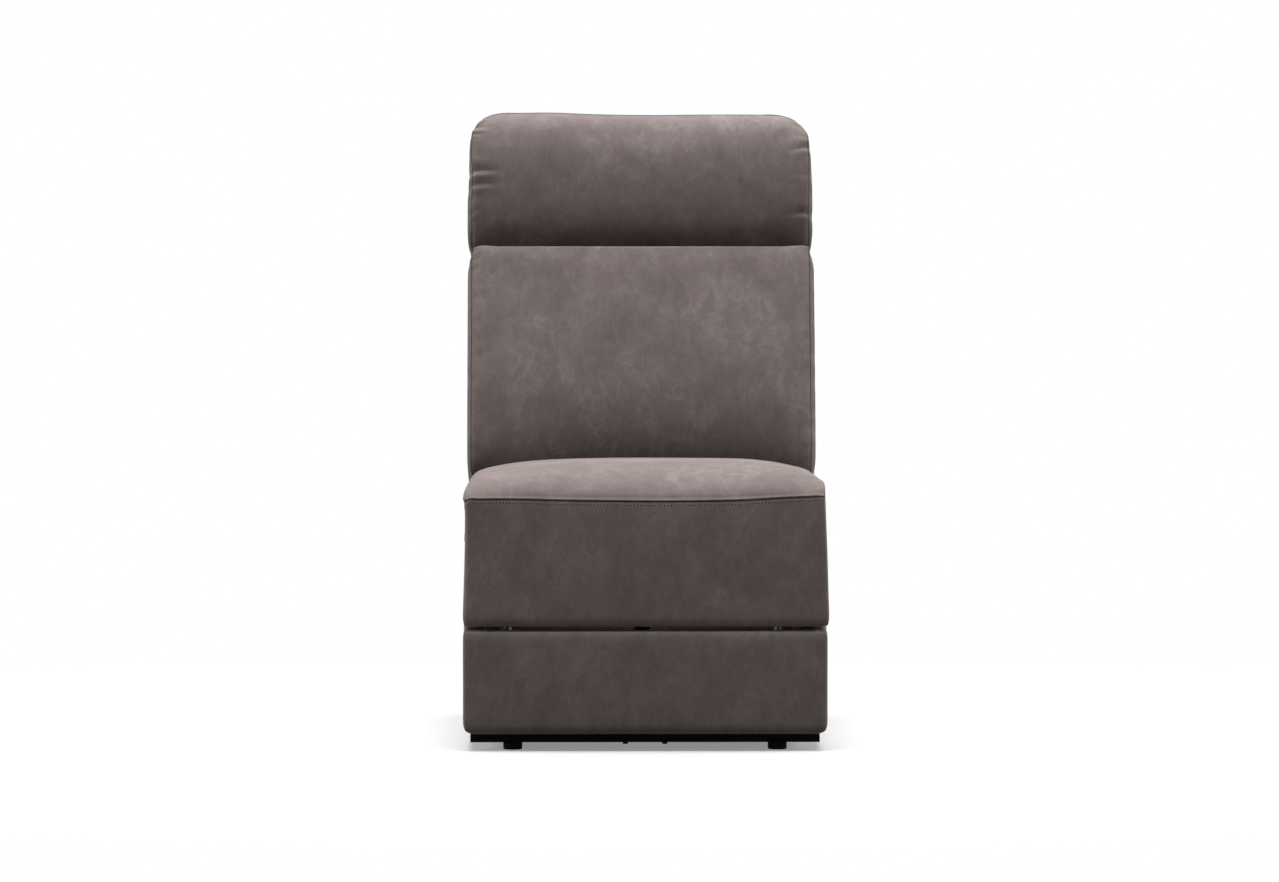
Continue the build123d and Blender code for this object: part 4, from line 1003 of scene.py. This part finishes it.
def wrapped(name, node, body, voxel=0.004, axis=0, bulge=0.0):
    """An upholstered panel: the CAD panel's copy with softened edges, and with a swell of its outer face.

    Where it swells, axis is 1, 2 or 3 for a face that looks along x, y or z, negative for the other way."""
    panel = in_scene(name, nodes[node].data.copy())
    make_active(panel)
    bpy.ops.object.mode_set(mode="EDIT")
    bpy.ops.mesh.select_all(action="SELECT")
    bpy.ops.mesh.remove_doubles(threshold=0.00002)
    bpy.ops.object.mode_set(mode="OBJECT")
    apply_modifier(panel, "REMESH", mode="VOXEL", voxel_size=voxel)
    apply_modifier(panel, "SMOOTH", factor=0.5, iterations=5)
    if bulge:
        co, n = points_of(panel), normals_of(panel)
        way, k = np.sign(axis), abs(axis) - 1
        rim = np.minimum(co - co.min(0), co.max(0) - co)
        rim[:, k] = 1
        swell = smooth(rim.min(1) / 0.09) * (n[:, k] * way > 0.3)
        if node == "side_panel_left":
            # The cover lies flat round the switch.
            from_switch = np.hypot(co[:, 1] - switch_place[0], co[:, 2] - switch_place[1])
            swell *= smooth((from_switch - 0.045) / 0.06)
        co[:, k] += way * bulge * swell
        move_points(panel, co)
    if body == "headrest":
        draw_in_corners(panel)
    if node == "side_panel_left":
        cut_switch_opening(panel)
    finish_cover(panel, body, [node])


def wrap_board(name, node, body):
    """Cloth drawn round the edges of the board behind a padded panel."""
    co, proud = points_of(nodes[node]), (0.0018, 0, 0.0018)
    wrap = add_block(name, co.min(0) - proud, co.max(0) + proud)
    bpy.ops.object.mode_set(mode="EDIT")
    bpy.ops.mesh.select_mode(type="FACE")
    bpy.ops.mesh.select_all(action="DESELECT")
    bpy.ops.object.mode_set(mode="OBJECT")
    for face in wrap.data.polygons:
        face.select = abs(face.normal.y) > 0.5
    bpy.ops.object.mode_set(mode="EDIT")
    bpy.ops.mesh.delete(type="ONLY_FACE")
    bpy.ops.object.mode_set(mode="OBJECT")
    apply_modifier(wrap, "SOLIDIFY", thickness=0.0015, offset=-1)
    # The cushion's copy of the cloth, lightened or darkened as painted light and shade.
    paint(wrap, lit_and_shaded_nubucks[body])
    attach(wrap, body)


def make_bolt_caps():
    """Black caps on the two bolt ends that show under the front rail."""
    co = points_of(nodes["rail_bolts"])
    right = co[:, 0] > co[:, 0].mean()
    caps = []
    for part in (co[~right], co[right]):
        low, high = part.min(0), part.max(0)
        cap = add_rod((low + high) / 2, 0.0045, high[2] - low[2], 24)
        apply_modifier(cap, "BEVEL", width=0.0012, segments=3)
        caps.append(cap)
    deselect()
    for cap in caps:
        cap.select_set(True)
    bpy.context.view_layer.objects.active = caps[0]
    bpy.ops.object.join()
    both = bpy.context.object
    both.name = "rail_bolt_caps"
    bpy.ops.object.shade_smooth()
    both.data.materials.append(finishes["foot_plastic"])
    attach(both, "base")
    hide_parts("rail_bolts")


make_head()
make_back()
make_seat()
make_bolt_caps()
border = make_border()
make_stitches(border)
make_pad()
wrap_board("front_border_wrap", "front_border_board", "seat")
wrap_board("footrest_wrap", "footrest_board", "footrest")
wrapped("side_panel_cover_right", "side_panel_right", "base", voxel=0.0045, axis=1, bulge=0.006)
wrapped("side_panel_cover_left", "side_panel_left", "base", voxel=0.0045, axis=-1, bulge=0.0035)
wrapped("rear_panel_cover", "rear_panel", "base", voxel=0.0045, axis=2, bulge=0.002)
for part in ("back", "headrest"):
    for place, plural in (("rear", ""), ("side", "s"), ("top", "")):
        wrapped(f"{part}_{place}_cover{plural}", f"{part}_{place}_panel{plural}", part)

# ======== carried-over CAD pieces
slots = {entry["node"]: entry["material_slot"] for entry in frame["record"]["subparts"]}
for name, node in nodes.items():
    finish = finishes.get(slots[name], nubuck)
    if not node.data.materials:
        node.data.materials.append(finish)
    for place in node.material_slots:
        place.link = "OBJECT"
        place.material = finish

# ======== floor, light and camera
def flat_shader(tree, kind, colour, strength=None):
    """A diffuse, emission or background shader of one colour."""
    node = tree.nodes.new(kind)
    node.inputs["Color"].default_value = (*colour, 1)
    if strength is not None:
        node.inputs["Strength"].default_value = strength
    return node.outputs[0]


def mixed_shaders(tree, share, first, second):
    """The first shader where share is 0, the second where it is 1."""
    node = tree.nodes.new("ShaderNodeMixShader")
    for socket, value in zip(node.inputs, (share, first, second)):
        tree.links.new(value, socket)
    return node.outputs[0]


def seen_directly(tree):
    """1 on camera, glossy and transmission rays."""
    rays = tree.nodes.new("ShaderNodeLightPath")
    value = rays.outputs["Is Camera Ray"]
    for other in ("Is Glossy Ray", "Is Transmission Ray"):
        most = tree.nodes.new("ShaderNodeMath")
        most.operation = "MAXIMUM"
        tree.links.new(value, most.inputs[0])
        tree.links.new(rays.outputs[other], most.inputs[1])
        value = most.outputs[0]
    return value


def make_floor():
    """A pale floor: matt near the object, where it holds the shadow, and plain white further out."""
    deselect()
    bpy.ops.mesh.primitive_plane_add(size=60, location=(0, 0, 0))
    floor = bpy.context.object
    floor.name = "floor"
    material = bpy.data.materials.new("pale_floor")
    material.use_nodes = True
    tree = material.node_tree
    tree.nodes.clear()
    place = tree.nodes.new("ShaderNodeTexCoord").outputs["Object"]
    distance = tree.nodes.new("ShaderNodeVectorMath")
    distance.operation = "LENGTH"
    tree.links.new(place, distance.inputs[0])
    reach = tree.nodes.new("ShaderNodeMapRange")
    reach.interpolation_type = "SMOOTHSTEP"
    reach.inputs["From Min"].default_value = shadow_reach
    reach.inputs["From Max"].default_value = white_from
    tree.links.new(distance.outputs["Value"], reach.inputs["Value"])
    near = tree.nodes.new("ShaderNodeAddShader")
    tree.links.new(flat_shader(tree, "ShaderNodeBsdfDiffuse", floor_colour), near.inputs[0])
    tree.links.new(flat_shader(tree, "ShaderNodeEmission", white, floor_glow), near.inputs[1])
    far = flat_shader(tree, "ShaderNodeEmission", white, 1.0)
    seen = mixed_shaders(tree, reach.outputs[0], near.outputs[0], far)
    soft = flat_shader(tree, "ShaderNodeBsdfDiffuse", (floor_bounce,) * 3)
    out = tree.nodes.new("ShaderNodeOutputMaterial")
    tree.links.new(mixed_shaders(tree, seen_directly(tree), soft, seen), out.inputs["Surface"])
    floor.data.materials.append(material)


def make_world():
    world = bpy.data.worlds.new("studio")
    scene.world = world
    world.use_nodes = True
    tree = world.node_tree
    tree.nodes.clear()
    seen = flat_shader(tree, "ShaderNodeBackground", white)
    light = flat_shader(tree, "ShaderNodeBackground", fill_colour, fill_light)
    out = tree.nodes.new("ShaderNodeOutputWorld")
    tree.links.new(mixed_shaders(tree, seen_directly(tree), light, seen), out.inputs["Surface"])


def area_light(name, place, target, size, watts):
    lamp = bpy.data.lights.new(name, "AREA")
    lamp.shape = "RECTANGLE"
    lamp.size, lamp.size_y = size
    lamp.energy = watts
    lamp.color = white
    holder = in_scene(name, lamp)
    holder.location = place
    holder.rotation_euler = (Vector(target) - Vector(place)).to_track_quat("-Z", "Y").to_euler()


def make_camera():
    lens = bpy.data.cameras.new("photo_camera")
    lens.lens = focal_length
    lens.sensor_width = sensor_width
    lens.clip_end = 100
    camera = in_scene("photo_camera", lens)
    camera.location = (camera_side, front_y - camera_distance, camera_height)
    camera.rotation_euler = (radians(90 - camera_pitch), 0, radians(camera_yaw))
    scene.camera = camera


make_floor()
make_world()
area_light("overhead_softbox", (0, -0.1, 2.9), (0, -0.1, 0.4), (2.4, 0.7), overhead_power)
area_light("overhead_rear_softbox", (0, 0.9, 2.8), (0, 0.1, 0.4), (2.4, 0.9), overhead_rear_power)
area_light("overhead_front_softbox", (0, -1.2, 2.9), (0, -0.3, 0.4), (2.4, 1.2), overhead_front_power)
for name, way in (("side_softbox_left", -1), ("side_softbox_right", 1)):
    area_light(name, (way * 3.2, 0.25, 1.1), (0, -0.2, 0.6), (1.4, 1.8), side_power)
make_camera()
scene.view_settings.view_transform = "Standard"
